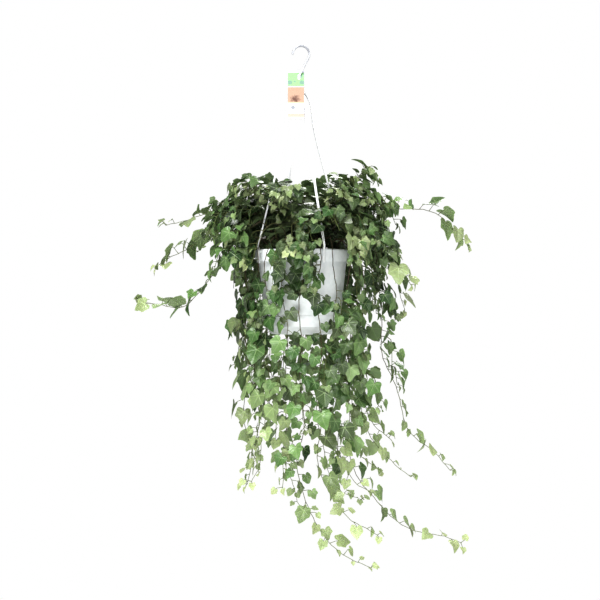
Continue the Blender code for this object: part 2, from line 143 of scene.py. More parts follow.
def makeStudio():
    scene = bpy.context.scene
    scene.view_settings.view_transform = "Standard"
    scene.view_settings.gamma = studio["gamma"]
    world = bpy.data.worlds.new("whiteRoom")
    world.use_nodes = True
    tree = world.node_tree
    ray = addNode(tree, "LightPath")
    strength = addNode(
        tree, "Mix", {0: ray.outputs["Is Camera Ray"], 2: studio["ambient"], 3: studio["surround"]},
    )
    white = (1, 1, 1, 1)
    fillInputs(tree, tree.nodes["Background"], {"Color": white, "Strength": strength})
    scene.world = world
    cameraData = bpy.data.cameras.new("camera")
    cameraData.lens = studio["lens"]
    cameraData.sensor_width = 36
    camera = addObject("camera", cameraData)
    camera.location = studio["lookFrom"]
    camera.rotation_euler = (math.radians(90), 0, 0)
    scene.camera = camera
    for name, place, width, watts in studio["lights"]:
        lightData = bpy.data.lights.new(name, "AREA")
        lightData.shape = "DISK"
        lightData.size = width
        lightData.energy = watts
        light = addObject(name, lightData)
        light.location = place
        away = Vector(place) - Vector(studio["aimAt"])
        light.rotation_euler = away.to_track_quat("Z", "Y").to_euler()
    shape = bmesh.new()
    bmesh.ops.create_circle(shape, cap_ends=True, segments=96, radius=studio["floorRadius"])
    floor = addObject("floor", meshFrom(shape, "floor"))
    floor.location.z = studio["floorHeight"]
    material, tree, shader = newMaterial("paintedFloor")
    speckle = addNode(tree, "TexNoise", {"Scale": 220.0, "Detail": 4.0})
    tint = addNode(tree, "ValToRGB", {"Fac": speckle}, stops=((0.3, "#ececea"), (0.7, "#f6f6f4")))
    fillInputs(tree, shader, {"Base Color": tint, "Roughness": 0.8})
    floor.data.materials.append(material)


makeStudio()
print("studio made")

# What the solids were made to, repeated here in metres
potSize = {
    "rimRadius": 0.095,
    "rimHeight": 0.024,
    "rimProud": 0.005,
    "rimSkirt": 0.0020,
    "wall": 0.0022,
    "stepRadius": 0.0768,
    "stepDepth": 0.130,
    "depth": 0.1545,
    "footTaper": 0.002,
    "soilDepth": 0.018,
    "soilDome": 0.004,
    "drainRadius": 0.005,
    "drainCircle": 0.045,
    "drainCount": 4,
    "saucerWall": 0.0018,
    "saucerDrop": 0.0135,
    "saucerBaseRadius": 0.058,
    "saucerCorner": 0.010,
    "gap": 0.0003,  # between two pieces that touch
    "turnSteps": 96,
}
hangerSize = {
    "height": 0.406,  # hook crest to the rim
    "offset": 0.003,  # the pot's axis, right of the hook crest
    "hub": (-0.004, 0, -0.082),
    "hubRadius": 0.0075,
    "hubHeight": 0.012,
    "hookRadius": 0.0145,
    "wire": 0.0021,
    "hookEnd": 178,
    "shankRise": 0.024,
    "strapCount": 4,
    "strapStart": -64.4,
    "strapWidth": 0.0048,
    "strapThickness": 0.0028,
    "strapShoulder": (0.0245, 0.030),
    "strapWaist": (0.0365, 0.104),
    "clipGrip": 0.0040,
}
rimZ = -hangerSize["height"]
axisX = hangerSize["offset"]
hub = Vector(hangerSize["hub"])


def arc(center, radius, start, end, count):
    angles = [math.radians(start + (end - start) * i / count) for i in range(count + 1)]
    return [(center[0] + radius * math.cos(a), center[1] + radius * math.sin(a)) for a in angles]


def smoothPath(points, spacing):
    # a smooth curve through the points, with a new point about every spacing
    points = [Vector(p) for p in points]
    ends = [points[0] * 2 - points[1], *points, points[-1] * 2 - points[-2]]
    path = []
    for a, b, c, d in zip(ends, ends[1:], ends[2:], ends[3:]):
        count = max(1, round((c - b).length / spacing))
        for i in range(count):
            t = i / count
            path.append(
                (b * 2 + (c - a) * t + (a * 2 - b * 5 + c * 4 - d) * t**2
                 + (b * 3 - a - c * 3 + d) * t**3) / 2
            )
    return [*path, points[-1]]


def turnedMesh(name, profile, place):
    # turns (radius, height) pairs about an upright axis; radius 0 gives a single point
    shape = bmesh.new()
    rows = []
    steps = potSize["turnSteps"]
    for radius, height in profile:
        if radius == 0:
            rows.append([shape.verts.new((place[0], place[1], place[2] + height))])
            continue
        row = []
        for i in range(steps):
            angle = math.tau * i / steps
            x, y = radius * math.cos(angle), radius * math.sin(angle)
            row.append(shape.verts.new((place[0] + x, place[1] + y, place[2] + height)))
        rows.append(row)
    for upper, lower in zip(rows, rows[1:]):
        for i in range(steps):
            j = (i + 1) % steps
            corners = [upper[i % len(upper)], lower[i % len(lower)]]
            corners += [lower[j % len(lower)], upper[j % len(upper)]]
            shape.faces.new(list(dict.fromkeys(corners)))
    bmesh.ops.recalc_face_normals(shape, faces=shape.faces)
    mesh = meshFrom(shape, name)
    shadeEdges(mesh, 38)
    return mesh


def sweptTube(path, radii, sides):
    # points and faces of a round tube along the path, closed at both ends
    points, faces = [], []
    direction = (path[1] - path[0]).normalized()
    across = direction.orthogonal().normalized()
    for i, place in enumerate(path):
        ahead = (path[min(i + 1, len(path) - 1)] - path[max(i - 1, 0)]).normalized()
        across = (across - ahead * across.dot(ahead)).normalized()
        over = ahead.cross(across)
        for k in range(sides):
            angle = math.tau * k / sides
            points.append(place + (across * math.cos(angle) + over * math.sin(angle)) * radii[i])
        if i:
            for k in range(sides):
                a, b = (i - 1) * sides + k, (i - 1) * sides + (k + 1) % sides
                faces.append((a, b, b + sides, a + sides))
    faces.append(tuple(reversed(range(sides))))
    faces.append(tuple(range((len(path) - 1) * sides, len(path) * sides)))
    return points, faces


# Pot and saucer: polypropylene, injection moulded. The cooled skin is smooth and a little uneven,
# so its gloss is broad and soft, and thin white walls glow slightly where light falls through.
potLook = {
    "white": "#f0f3f5",
    "shade": "#e8ecee",
    "dust": "#b9ad98",
    "roughness": 0.36,
    "skinWave": 0.012,  # metres between the waves of the cooled skin
    "grain": 0.0009,
    "dustPatch": 26.0,  # patches to the metre
    "dustShare": 0.12,
    "glow": 0.12,
}


def makePotMaterial():
    material, tree, shader = newMaterial("mouldedPolypropyleneWhite")
    place = addNode(tree, "TexCoord").outputs["Object"]
    broad = addNode(tree, "TexNoise", {"Vector": place, "Scale": 1 / potLook["skinWave"]})
    fine = addNode(tree, "TexNoise", {"Vector": place, "Scale": 1 / potLook["grain"], "Detail": 3.0})
    tint = addNode(
        tree, "ValToRGB", {"Fac": broad}, stops=((0.35, potLook["shade"]), (0.6, potLook["white"])),
    )
    # potting dust in the pores, thicker in patches a few centimetres across
    patches = addNode(
        tree, "TexNoise",
        {"Vector": place, "Scale": potLook["dustPatch"], "Detail": 5.0,
         "Roughness": 0.65},
    )
    dusty = addNode(
        tree, "MapRange",
        {"Value": patches, "From Min": 0.55, "From Max": 0.80,
         "To Max": potLook["dustShare"]},
    )
    colour = addNode(tree, "Mix", {0: dusty, 6: tint, 7: linear(potLook["dust"])}, data_type="RGBA")
    rough = addNode(
        tree, "MapRange",
        {"Value": patches, "From Min": 0.3, "From Max": 0.8,
         "To Min": potLook["roughness"] - 0.05, "To Max": potLook["roughness"] + 0.16},
    )
    skin = addNode(tree, "Bump", {"Height": broad, "Strength": 0.25, "Distance": 0.0004})
    bump = addNode(tree, "Bump", {"Height": fine, "Strength": 0.2, "Distance": 0.00006, "Normal": skin})
    fillInputs(tree, shader, {
        "Base Color": colour, "Roughness": rough, "Normal": bump, "IOR": 1.49,
        "Subsurface Weight": potLook["glow"], "Subsurface Radius": (1.0, 1.0, 0.9),
        "Subsurface Scale": 0.003,
    })
    return material


def outerWall(depth):
    top = potSize["rimRadius"] - potSize["rimProud"]
    return top + (potSize["stepRadius"] - top) * depth / potSize["stepDepth"]


def footRadius():
    return potSize["stepRadius"] - potSize["saucerWall"] - potSize["gap"]


def makePot(material):
    size = potSize
    wall, skirt, taper = size["wall"], size["rimSkirt"], size["footTaper"]
    rim, step = size["rimRadius"], size["stepRadius"]
    rimLow, stepLow, base = -size["rimHeight"], -size["stepDepth"], -size["depth"]
    bead = size["rimProud"] + wall
    underBand = -bead / 2 - skirt / 2
    foot = footRadius()
    edge, footEdge, footInside = 0.0005, 0.0015, 0.003  # roundings of the moulded edges
    flat = 0.030  # the floor's even middle
    profile = [
        (0, base + wall), (flat, base + wall),
        *arc((foot - wall - taper - footInside, base + wall + footInside), footInside, -90, 0, 5),
        (foot - wall, stepLow - wall), (outerWall(size["stepDepth"]) - wall, stepLow + wall),
        *[(outerWall(depth) - wall, -depth) for depth in (0.060, 0.010)],
        *arc((rim - bead / 2, -bead / 2), bead / 2, 180, 0, 14)[1:],
        (rim, rimLow * 0.5),
        *arc((rim - edge, rimLow + edge), edge, 0, -90, 3),
        *arc((rim - skirt + edge, rimLow + edge), edge, -90, -180, 3),
        (rim - skirt, underBand), (outerWall(-underBand), underBand),
        *[(outerWall(depth), -depth) for depth in (0.030, 0.080)],
        *arc((step - edge, stepLow + edge), edge, 0, -90, 3),
        (foot, stepLow),
        *arc((foot - taper - footEdge, base + footEdge), footEdge, 0, -90, 3),
        (flat, base), (0, base),
    ]
    mesh = turnedMesh("flowerPot", profile, (axisX, 0, rimZ))
    pot = addPiece("flowerPot", mesh, [material], "pot")
    for i in range(size["drainCount"]):
        angle = math.tau * (i + 0.5) / size["drainCount"]
        across, back = size["drainCircle"] * math.cos(angle), size["drainCircle"] * math.sin(angle)
        shape = bmesh.new()
        bmesh.ops.create_cone(
            shape, cap_ends=True, segments=32, radius1=size["drainRadius"],
            radius2=size["drainRadius"], depth=wall * 4,
            matrix=Matrix.Translation((axisX + across, back, rimZ - size["depth"] + wall / 2)),
        )
        drain = addObject("drain", meshFrom(shape, "drain"))
        cut = pot.modifiers.new("drain", "BOOLEAN")
        cut.operation = "DIFFERENCE"
        cut.solver = "EXACT"
        cut.object = drain
        made = finishedMesh(pot)
        pot.modifiers.clear()
        pot.data = made
        bpy.data.objects.remove(drain, do_unlink=True)


def finishedMesh(piece):
    # the mesh as it is with the piece's modifiers applied
    bpy.context.view_layer.update()
    graph = bpy.context.evaluated_depsgraph_get()
    return bpy.data.meshes.new_from_object(piece.evaluated_get(graph))


def makeSaucer(material):
    size = potSize
    thick, bend, step = size["saucerWall"], size["saucerCorner"], size["stepRadius"]
    top = -size["stepDepth"] - size["gap"]
    base = -size["depth"] - size["saucerDrop"]
    foot = -size["depth"] + size["footTaper"]
    corner = (size["saucerBaseRadius"], base + bend)
    slope = math.radians(20)  # of the side where it leaves the corner
    shoulder = (corner[0] + bend * math.cos(slope), corner[1] - bend * math.sin(slope))
    edge = 0.0004
    hollow = base + 0.0005  # a shallow ring under the base, so that the saucer stands on its edge
    profile = [
        (0, base + thick), (0.030, base + thick),
        *reversed(arc(corner, bend - thick, -20, -90, 8)),
        (step - thick, foot),
        *arc((step - thick + edge, top - edge), edge, 180, 90, 3),
        *arc((step - edge, top - edge), edge, 90, 0, 3),
        (step, foot), shoulder,
        *arc(corner, bend, -20, -90, 8)[1:],
        (0.050, base), (0.0485, hollow), (0.020, hollow), (0, hollow),
    ]
    mesh = turnedMesh("clipOnSaucer", profile, (axisX, 0, rimZ))
    addPiece("clipOnSaucer", mesh, [material], "saucer")


potMaterial = makePotMaterial()
makePot(potMaterial)
makeSaucer(potMaterial)
print("pot and saucer made")

# Soil: peat with bark fibres and a little perlite, watered from above. Dark, matt and crumbly.
soilLook = {
    "peat": "#2a1d13",
    "dryPeat": "#4a3626",
    "bark": "#6b4a30",
    "perlite": "#cfc8ba",
    "crumb": 0.0028,  # metres across
    "lump": 0.011,
    "crumbHeight": 0.0014,
    "rings": 34,
    "seed": 5,
}


def makeSoilMaterial():
    material, tree, shader = newMaterial("peatPottingSoil")
    place = addNode(tree, "TexCoord").outputs["Object"]
    crumbs = addNode(tree, "TexVoronoi", {"Vector": place, "Scale": 1 / soilLook["crumb"]})
    damp = addNode(tree, "TexNoise", {"Vector": place, "Scale": 1 / soilLook["lump"], "Detail": 6.0})
    tint = addNode(
        tree, "ValToRGB", {"Fac": damp},
        stops=((0.35, soilLook["peat"]), (0.62, soilLook["dryPeat"]), (0.80, soilLook["bark"])),
    )
    # one crumb in thirty is a grain of perlite
    pick = addNode(tree, "SeparateColor", {"Color": crumbs.outputs["Color"]})
    grain = addNode(tree, "Math", {0: pick.outputs["Red"], 1: 0.967}, operation="GREATER_THAN")
    colour = addNode(tree, "Mix", {0: grain, 6: tint, 7: linear(soilLook["perlite"])}, data_type="RGBA")
    bump = addNode(tree, "Bump", {"Height": crumbs, "Strength": 0.8, "Distance": 0.0012}, invert=True)
    fillInputs(tree, shader, {"Base Color": colour, "Normal": bump, "Roughness": 0.92, "IOR": 1.45})
    return material


def makeSoil(material):
    size = potSize
    dice = random.Random(soilLook["seed"])
    topRadius = outerWall(size["soilDepth"]) - size["wall"] - size["gap"]
    rings = soilLook["rings"]
    profile = [(0, -size["soilDepth"] + size["soilDome"])]
    for i in range(1, rings + 1):
        share = i / rings
        profile.append((topRadius * share, -size["soilDepth"] + size["soilDome"] * (1 - share**2)))
    surfaceRows = len(profile)
    floorZ = -size["depth"] + size["wall"] + size["gap"] + 0.0002
    stepTop = -size["stepDepth"] + size["wall"]
    profile += [
        (outerWall(size["stepDepth"]) - size["wall"] - size["gap"], stepTop),
        (footRadius() - size["wall"] - size["gap"], -size["stepDepth"] - size["wall"]),
        (footRadius() - size["wall"] - size["footTaper"] - 0.004, floorZ),
        (0, floorZ),
    ]
    mesh = turnedMesh("peatSoil", profile, (axisX, 0, rimZ))
    crumbled = (surfaceRows - 2) * size["turnSteps"] + 1
    for vertex in list(mesh.vertices)[:crumbled]:
        vertex.co.z += dice.uniform(-1, 0.35) * soilLook["crumbHeight"]
    mesh.set_sharp_from_angle(angle=math.radians(180))
    addPiece("peatSoil", mesh, [material], "soil")


makeSoil(makeSoilMaterial())
print("soil made")

# Hanger: polypropylene, moulded in one piece and cooled slowly, so it is glossier than the pot.
hangerLook = {
    "white": "#f6f7f8",
    "shade": "#ebedf0",
    # the grey painted on the hook as shade
    "hookShade": "#8f9197",
    "roughness": 0.28,
    "flowMarks": 0.009,
    "hookShadeShare": 1.9,  # times the flow marks, at the crest, for the hook's painted shade
    "glow": 0.10,
    "hookShadeFrom": -0.105,  # below the crest; painted shade makes the hook greyer from here up to the crest
}


def makeHangerMaterial():
    material, tree, shader = newMaterial("mouldedPolypropyleneGlossWhite")
    place = addNode(tree, "TexCoord").outputs["Object"]
    # flow marks run down the straps, where the melt filled them from the hub
    stretch = addNode(tree, "Mapping", {"Vector": place, "Scale": (1, 1, 0.18)})
    flow = addNode(
        tree, "TexNoise", {"Vector": stretch, "Scale": 1 / hangerLook["flowMarks"], "Detail": 3.0},
    )
    tint = addNode(
        tree, "ValToRGB", {"Fac": flow}, stops=((0.3, hangerLook["shade"]), (0.6, hangerLook["white"])),
    )
    rough = addNode(
        tree, "MapRange",
        {"Value": flow, "From Min": 0.3, "From Max": 0.7,
         "To Min": hangerLook["roughness"] - 0.05, "To Max": hangerLook["roughness"] + 0.08},
    )
    bump = addNode(tree, "Bump", {"Height": flow, "Strength": 0.15, "Distance": 0.0003})
    # painted shade: the hook is painted greyer towards its crest, streaked along the flow marks, so that
    # the white hook shows shading
    height = addNode(tree, "SeparateXYZ", {"Vector": place})
    hookShade = addNode(
        tree, "MapRange",
        {"Value": height.outputs["Z"], "From Min": hangerLook["hookShadeFrom"], "From Max": 0.0,
         "To Max": hangerLook["hookShadeShare"]},
    )
    hookShadeMask = addNode(tree, "Math", {0: hookShade, 1: flow}, operation="MULTIPLY")
    colour = addNode(tree, "Mix", {0: hookShadeMask, 6: tint, 7: linear(hangerLook["hookShade"])}, data_type="RGBA")
    fillInputs(tree, shader, {
        "Base Color": colour, "Roughness": rough, "Normal": bump, "IOR": 1.49,
        "Subsurface Weight": hangerLook["glow"], "Subsurface Radius": (1.0, 1.0, 0.9),
        "Subsurface Scale": 0.002,
    })
    return material


def strapLine():
    # (out from the axis, height) along a strap's middle, from the hub to the clip's tip
    size = hangerSize
    half = size["strapThickness"] / 2
    outside = potSize["rimRadius"] + potSize["gap"] + half
    below = rimZ - potSize["rimHeight"] - potSize["gap"] - half
    upper = smoothPath(
        [
            (0.002, hub.z, 0), (size["strapShoulder"][0], hub.z - size["strapShoulder"][1], 0),
            (size["strapWaist"][0], hub.z - size["strapWaist"][1], 0),
            (outside, rimZ + potSize["rimSkirt"] * 4, 0),
        ],
        0.005,
    )
    clipTip = outside + half - size["clipGrip"] - potSize["gap"]
    bend = arc((outside - half, below + half), half, 0, -90, 4)
    return [(p.x, p.y) for p in upper] + bend + [(clipTip, below)]


def strapMesh(shape, azimuth):
    # sweeps a rounded bar along the strap's line, in the upright plane through the axis
    size = hangerSize
    line = [Vector(p) for p in strapLine()]
    out = Vector((math.cos(azimuth), math.sin(azimuth), 0))
    side = Vector((-out.y, out.x, 0))
    up = Vector((0, 0, 1))
    halfWidth, halfThick, corner = size["strapWidth"] / 2, size["strapThickness"] / 2, 0.0008
    section = []
    for sx, sy, start in ((1, 1, 0), (-1, 1, 90), (-1, -1, 180), (1, -1, 270)):
        middle = (sx * (halfWidth - corner), sy * (halfThick - corner))
        section += arc(middle, corner, start, start + 90, 3)
    leanTop = size["height"] + hub.z
    rows = []
    for i, point in enumerate(line):
        along = (line[min(i + 1, len(line) - 1)] - line[max(i - 1, 0)]).normalized()
        normal = Vector((along.y, -along.x))
        row = []
        for across, thick in section:
            spot = point + normal * thick
            lean = max(0.0, (spot.y - rimZ - potSize["rimSkirt"] * 4) / leanTop)
            place = out * spot.x + up * spot.y + side * across
            place.x += axisX + (hub.x - axisX) * lean
            row.append(shape.verts.new(place))
        rows.append(row)
    count = len(section)
    for first, second in zip(rows, rows[1:]):
        for k in range(count):
            shape.faces.new((first[k], second[k], second[(k + 1) % count], first[(k + 1) % count]))
    shape.faces.new(rows[0])
    shape.faces.new(list(reversed(rows[-1])))


def hookLine():
    size = hangerSize
    bend = arc((0, -size["hookRadius"]), size["hookRadius"] + size["wire"], -28, size["hookEnd"], 40)
    bend = [Vector((x, 0, z)) for x, z in bend]
    foot = hub + Vector((0, 0, size["hubHeight"] / 4))
    straight = hub + Vector((0, 0, size["shankRise"]))
    return [foot, *smoothPath([straight, bend[0]], 0.004), *bend[1:]]


def makeHanger(material):
    size = hangerSize
    shape = bmesh.new()
    for i in range(size["strapCount"]):
        strapMesh(shape, math.radians(size["strapStart"]) + math.tau * i / size["strapCount"])
    line = hookLine()
    # the free end is rounded off like the rest of the moulding
    tip = line[-1] + (line[-1] - line[-2]).normalized() * size["wire"] * 0.8
    radii = [size["wire"]] * len(line) + [size["wire"] * 0.55]
    points, faces = sweptTube([*line, tip], radii, 16)
    made = [shape.verts.new(p) for p in points]
    for face in faces:
        shape.faces.new([made[k] for k in face])
    high, low = size["hubHeight"] / 2, -size["hubHeight"] / 2
    wide, narrow = size["hubRadius"], size["hubRadius"] * 0.8
    rounding = 0.0012
    profile = [
        (0, high), *arc((wide - rounding, high - rounding), rounding, 90, 0, 4),
        *arc((narrow - rounding, low + rounding), rounding, 0, -90, 4), (0, low),
    ]
    hubMesh = turnedMesh("hub", profile, hub)
    shape.from_mesh(hubMesh)
    bpy.data.meshes.remove(hubMesh)
    bmesh.ops.recalc_face_normals(shape, faces=shape.faces)
    mesh = meshFrom(shape, "strapHanger")
    shadeEdges(mesh, 40)
    addPiece("strapHanger", mesh, [material], "hanger")


makeHanger(makeHangerMaterial())
print("hanger made")

# Care label: printed polystyrene sheet, punched out. Satin ink over a flat white core, so the print
# is a little glossier than paper and the cut edge stays pale.
labelSize = {
    "width": 0.032,
    "length": 0.115,
    "thickness": 0.0006,
    "corner": 0.004,
    "slotPlay": 0.0014,
    "slotInset": 0.016,
    "lean": 26,
    "across": -0.006,
    "hang": 0.022,
}
labelLook = {
    "core": "#e4e3e0",
    # the colour fields: where each begins, as a share of the length from the top, and its ink
    "fields": (
        (0.0, "#bfbdcc"), (0.05, "#86b57c"), (0.33, "#bfbdcc"), (0.35, "#a88a76"),
        (0.66, "#bdb890"), (0.68, "#bfbdcc"), (0.89, "#b59f92"), (0.96, "#bfb3aa"),
    ),
    "darkLeaf": "#6f9280",
    "leafField": (0.19, 0.125),  # middle and half height of the printed leaves
    "blotches": (9.0, 0.42),  # how many to the length, and how much of its cell each fills
    "fray": (22.0, 0.14),
    "pictureBrown": "#5c3627",
    "pictureField": (0.505, 0.155),
    "printedPot": (0.135, 0.595, 0),
    "potRadius": (0.10, 0.16),  # full ink to no ink
    "greyMark": "#85898f",
    "mark": (0.10, 0.77, 0),
    "markRadius": 0.035,
    "roughness": 0.38,
}


def makeLabelMaterial():
    material, tree, shader = newMaterial("printedPolystyreneSheet")
    sheet = addNode(tree, "UVMap", uv_map="sheet")
    axes = addNode(tree, "SeparateXYZ", {"Vector": sheet})
    down = axes.outputs["Y"]  # 0 at the top edge, 1 at the bottom
    fields = addNode(tree, "ValToRGB", {"Fac": down}, stops=labelLook["fields"])
    fields.color_ramp.interpolation = "CONSTANT"
    # blurred leaves printed over the green field, and a brown pot over the warm one
    count, filled = labelLook["blotches"]
    blotch = addNode(tree, "TexVoronoi", {"Vector": sheet, "Scale": count})
    inBlotch = addNode(tree, "Math", {0: blotch, 1: filled}, operation="LESS_THAN")
    middle, half = labelLook["leafField"]
    inGreen = addNode(tree, "Math", {0: down, 1: middle, 2: half}, operation="COMPARE")
    onGreen = addNode(tree, "Math", {0: inBlotch, 1: inGreen}, operation="MULTIPLY")
    green = addNode(
        tree, "Mix", {0: onGreen, 6: fields, 7: linear(labelLook["darkLeaf"])}, data_type="RGBA",
    )
    count, ragged = labelLook["fray"]
    fray = addNode(tree, "TexNoise", {"Vector": sheet, "Scale": count, "Detail": 3.0})
    potSpot = addNode(tree, "VectorMath", {0: sheet, 1: labelLook["printedPot"]}, operation="DISTANCE")
    frayed = addNode(tree, "Math", {0: fray, 1: ragged, 2: potSpot}, operation="MULTIPLY_ADD")
    full, none = labelLook["potRadius"]
    inPot = addNode(
        tree, "MapRange",
        {"Value": frayed, "From Min": full, "From Max": none, "To Min": 1.0, "To Max": 0.0},
    )
    middle, half = labelLook["pictureField"]
    inPicture = addNode(tree, "Math", {0: down, 1: middle, 2: half}, operation="COMPARE")
    onPicture = addNode(tree, "Math", {0: inPot, 1: inPicture}, operation="MULTIPLY")
    brown = addNode(
        tree, "Mix", {0: onPicture, 6: green, 7: linear(labelLook["pictureBrown"])}, data_type="RGBA",
    )
    # a plain round mark on the lavender field
    markSpot = addNode(tree, "VectorMath", {0: sheet, 1: labelLook["mark"]}, operation="DISTANCE")
    inMark = addNode(tree, "Math", {0: markSpot, 1: labelLook["markRadius"]}, operation="LESS_THAN")
    printed = addNode(
        tree, "Mix", {0: inMark, 6: brown, 7: linear(labelLook["greyMark"])}, data_type="RGBA",
    )
    # the ink stops short of the punched edge
    ink = addNode(tree, "Attribute", attribute_name="printed")
    colour = addNode(
        tree, "Mix", {0: ink.outputs["Fac"], 6: linear(labelLook["core"]), 7: printed}, data_type="RGBA",
    )
    dots = addNode(tree, "TexNoise", {"Vector": sheet, "Scale": 60.0})
    bump = addNode(tree, "Bump", {"Height": dots, "Strength": 0.1, "Distance": 0.0001})
    fillInputs(tree, shader, {
        "Base Color": colour, "Normal": bump, "Roughness": labelLook["roughness"], "IOR": 1.59,
    })
    return material


def makeLabel(material):
    size = labelSize
    half = size["width"] / 2 - size["corner"]
    below = size["slotInset"] - size["length"] + size["corner"]
    above = size["slotInset"] - size["corner"]
    outline = [
        *arc((half, above), size["corner"], 0, 90, 6), *arc((-half, above), size["corner"], 90, 180, 6),
        *arc((-half, below), size["corner"], 180, 270, 6),
        *arc((half, below), size["corner"], 270, 360, 6),
    ]
    outline = [(x + size["across"], y) for x, y in outline]
    # the upright wire crosses the leaning sheet, so the slot is longer than it is wide
    lean = math.radians(size["lean"])
    crossing = hangerSize["wire"] * 2 / math.sin(lean) + size["thickness"] / math.tan(lean)
    slotRadius = hangerSize["wire"] + size["slotPlay"]
    straight = crossing / 2 + size["slotPlay"] - slotRadius
    slot = arc((0, straight), slotRadius, 0, 180, 10) + arc((0, -straight), slotRadius, 180, 360, 10)
    curve = bpy.data.curves.new("careSheet", "CURVE")
    curve.dimensions = "2D"
    curve.fill_mode = "BOTH"
    curve.extrude = size["thickness"] / 2
    for loop in (outline, slot):
        spline = curve.splines.new("POLY")
        spline.points.add(len(loop) - 1)
        for point, (x, y) in zip(spline.points, loop):
            point.co = (x, y, 0, 1)
        spline.use_cyclic_u = True
    flat = addObject("careSheet", curve)
    mesh = finishedMesh(flat)
    bpy.data.objects.remove(flat, do_unlink=True)
    shape = bmesh.new()
    shape.from_mesh(mesh)
    bmesh.ops.remove_doubles(shape, verts=shape.verts, dist=0.00001)
    shape.to_mesh(mesh)
    shape.free()
    uvs = mesh.uv_layers.new(name="sheet")
    ink = mesh.attributes.new("printed", "FLOAT", "FACE")
    for face in mesh.polygons:
        ink.data[face.index].value = 1 if abs(face.normal.z) > 0.5 else 0
        for k in face.loop_indices:
            place = mesh.vertices[mesh.loops[k].vertex_index].co
            across = (place.x - size["across"]) / size["length"] + 0.15
            uvs.data[k].uv = (across, (size["slotInset"] - place.y) / size["length"])
    # a sheet this thin bows a little along its lower length
    for vertex in mesh.vertices:
        drop = (size["slotInset"] - vertex.co.y) / size["length"]
        vertex.co.z += 0.0015 * math.sin(drop * math.pi) * max(0.0, drop - 0.3)
    place = Matrix.Translation(hub + Vector((0, 0, size["hang"])))
    place @= Matrix.Rotation(math.radians(90) - lean, 4, "X")
    mesh.transform(place)
    addPiece("careSheet", mesh, [material], "care_label")


makeLabel(makeLabelMaterial())
print("care label made")

# Ivy. The stems follow the routes of the solids.
crownShoots = [
    (0.105, 0.110), (0.150, 0.120),
    (0.110, 0.100), (0.125, 0.120),
    (0.110, 0.110), (0.122, 0.110),
    (0.115, 0.100), (0.100, 0.085),
]
sideShoots = [
    (0.055, 0.070, -0.020, 5, 0.6), (0.060, 0.130, -0.070, 10, 0.6),
    (0.085, 0.235, 0.015, 6, 0.9), (0.065, 0.120, -0.120, 0, 0.7),
    (0.055, 0.095, -0.050, 0, 0.6), (0.070, 0.135, 0.000, 5, 0.6),
    (0.050, 0.075, -0.080, 0, 0.6), (0.075, 0.155, 0.010, 0, 0.8),
    (0.055, 0.085, -0.060, 0, 0.6), (0.065, 0.145, 0.000, 5, 0.7),
    (0.085, 0.180, 0.050, 5, 0.6), (0.070, 0.195, -0.035, -8, 0.5),
    (0.045, 0.235, -0.105, -28, 0.0), (0.050, 0.070, -0.030, -6, 0.6),
    (0.045, 0.055, -0.010, 0, 0.6), (0.060, 0.065, 0.000, 0, 0.6),
]
trailingVines = [
    (0.016, 0.350, 0.120, 0.070, -5), (0.020, 0.390, 0.184, 0.215, 0),
    (0.030, 0.260, 0.190, 0.100, 5), (0.055, 0.060, 0.380, 0.145, 0),
    (0.028, 0.240, 0.140, 0.060, 20),
    (0.018, 0.330, 0.120, 0.070, 25), (0.022, 0.200, 0.100, 0.050, 50),
    (0.016, 0.380, 0.140, 0.100, 30), (0.020, 0.260, 0.120, 0.050, 70),
    (0.016, 0.400, 0.150, 0.090, 60),
    (0.022, 0.220, 0.100, 0.040, 130), (0.017, 0.310, 0.120, 0.050, 100),
    (0.024, 0.130, 0.100, 0.020, 160), (0.018, 0.280, 0.150, 0.025, 20),
    (0.022, 0.170, 0.120, 0.015, 340),
    (0.017, 0.270, 0.190, 0.020, 180), (0.020, 0.300, 0.150, 0.030, 200),
    (0.016, 0.360, 0.100, 0.015, 250), (0.017, 0.420, 0.194, 0.138, -3),
    (0.021, 0.380, 0.170, 0.115, -8),
]
rootSize = {
    "crownBase": 0.020,
    "sideBase": 0.045,
    "trailBase": 0.068,
    "trailCrest": 0.022,
    "sway": 0.004,
    "stemRadius": 0.0016,
}


def around(azimuth, radius, height):
    angle = math.radians(azimuth)
    return Vector((axisX + radius * math.cos(angle), radius * math.sin(angle), rimZ + height))


def rootHeight(radius):
    wallTop = potSize["rimRadius"] - potSize["rimProud"]
    dome = potSize["soilDome"] * max(0.0, 1 - radius / wallTop)
    return -potSize["soilDepth"] + dome + potSize["gap"] + rootSize["stemRadius"]


def crownRoute(azimuth, rise, reach):
    base = rootSize["crownBase"]
    root = rootHeight(base)
    return [
        around(azimuth, base, root), around(azimuth, base + 0.003, root + 0.025),
        around(azimuth, base + (reach - base) * 0.35, rise * 0.70), around(azimuth, reach, rise),
    ]


def sideRoute(azimuth, rise, reach, tip, turn, kept):
    base = rootSize["sideBase"]
    root = rootHeight(base)
    end = potSize["rimRadius"] + reach
    over = potSize["rimRadius"] + 0.006
    return [
        around(azimuth, base, root), around(azimuth, base + 0.004, root + 0.022),
        around(azimuth, over - 0.020, rise * 0.82), around(azimuth + turn * 0.15, over + 0.015, rise),
        around(azimuth + turn * 0.55, over + (end - over) * 0.6, tip + (rise - tip) * kept),
        around(azimuth + turn, end, tip),
    ]


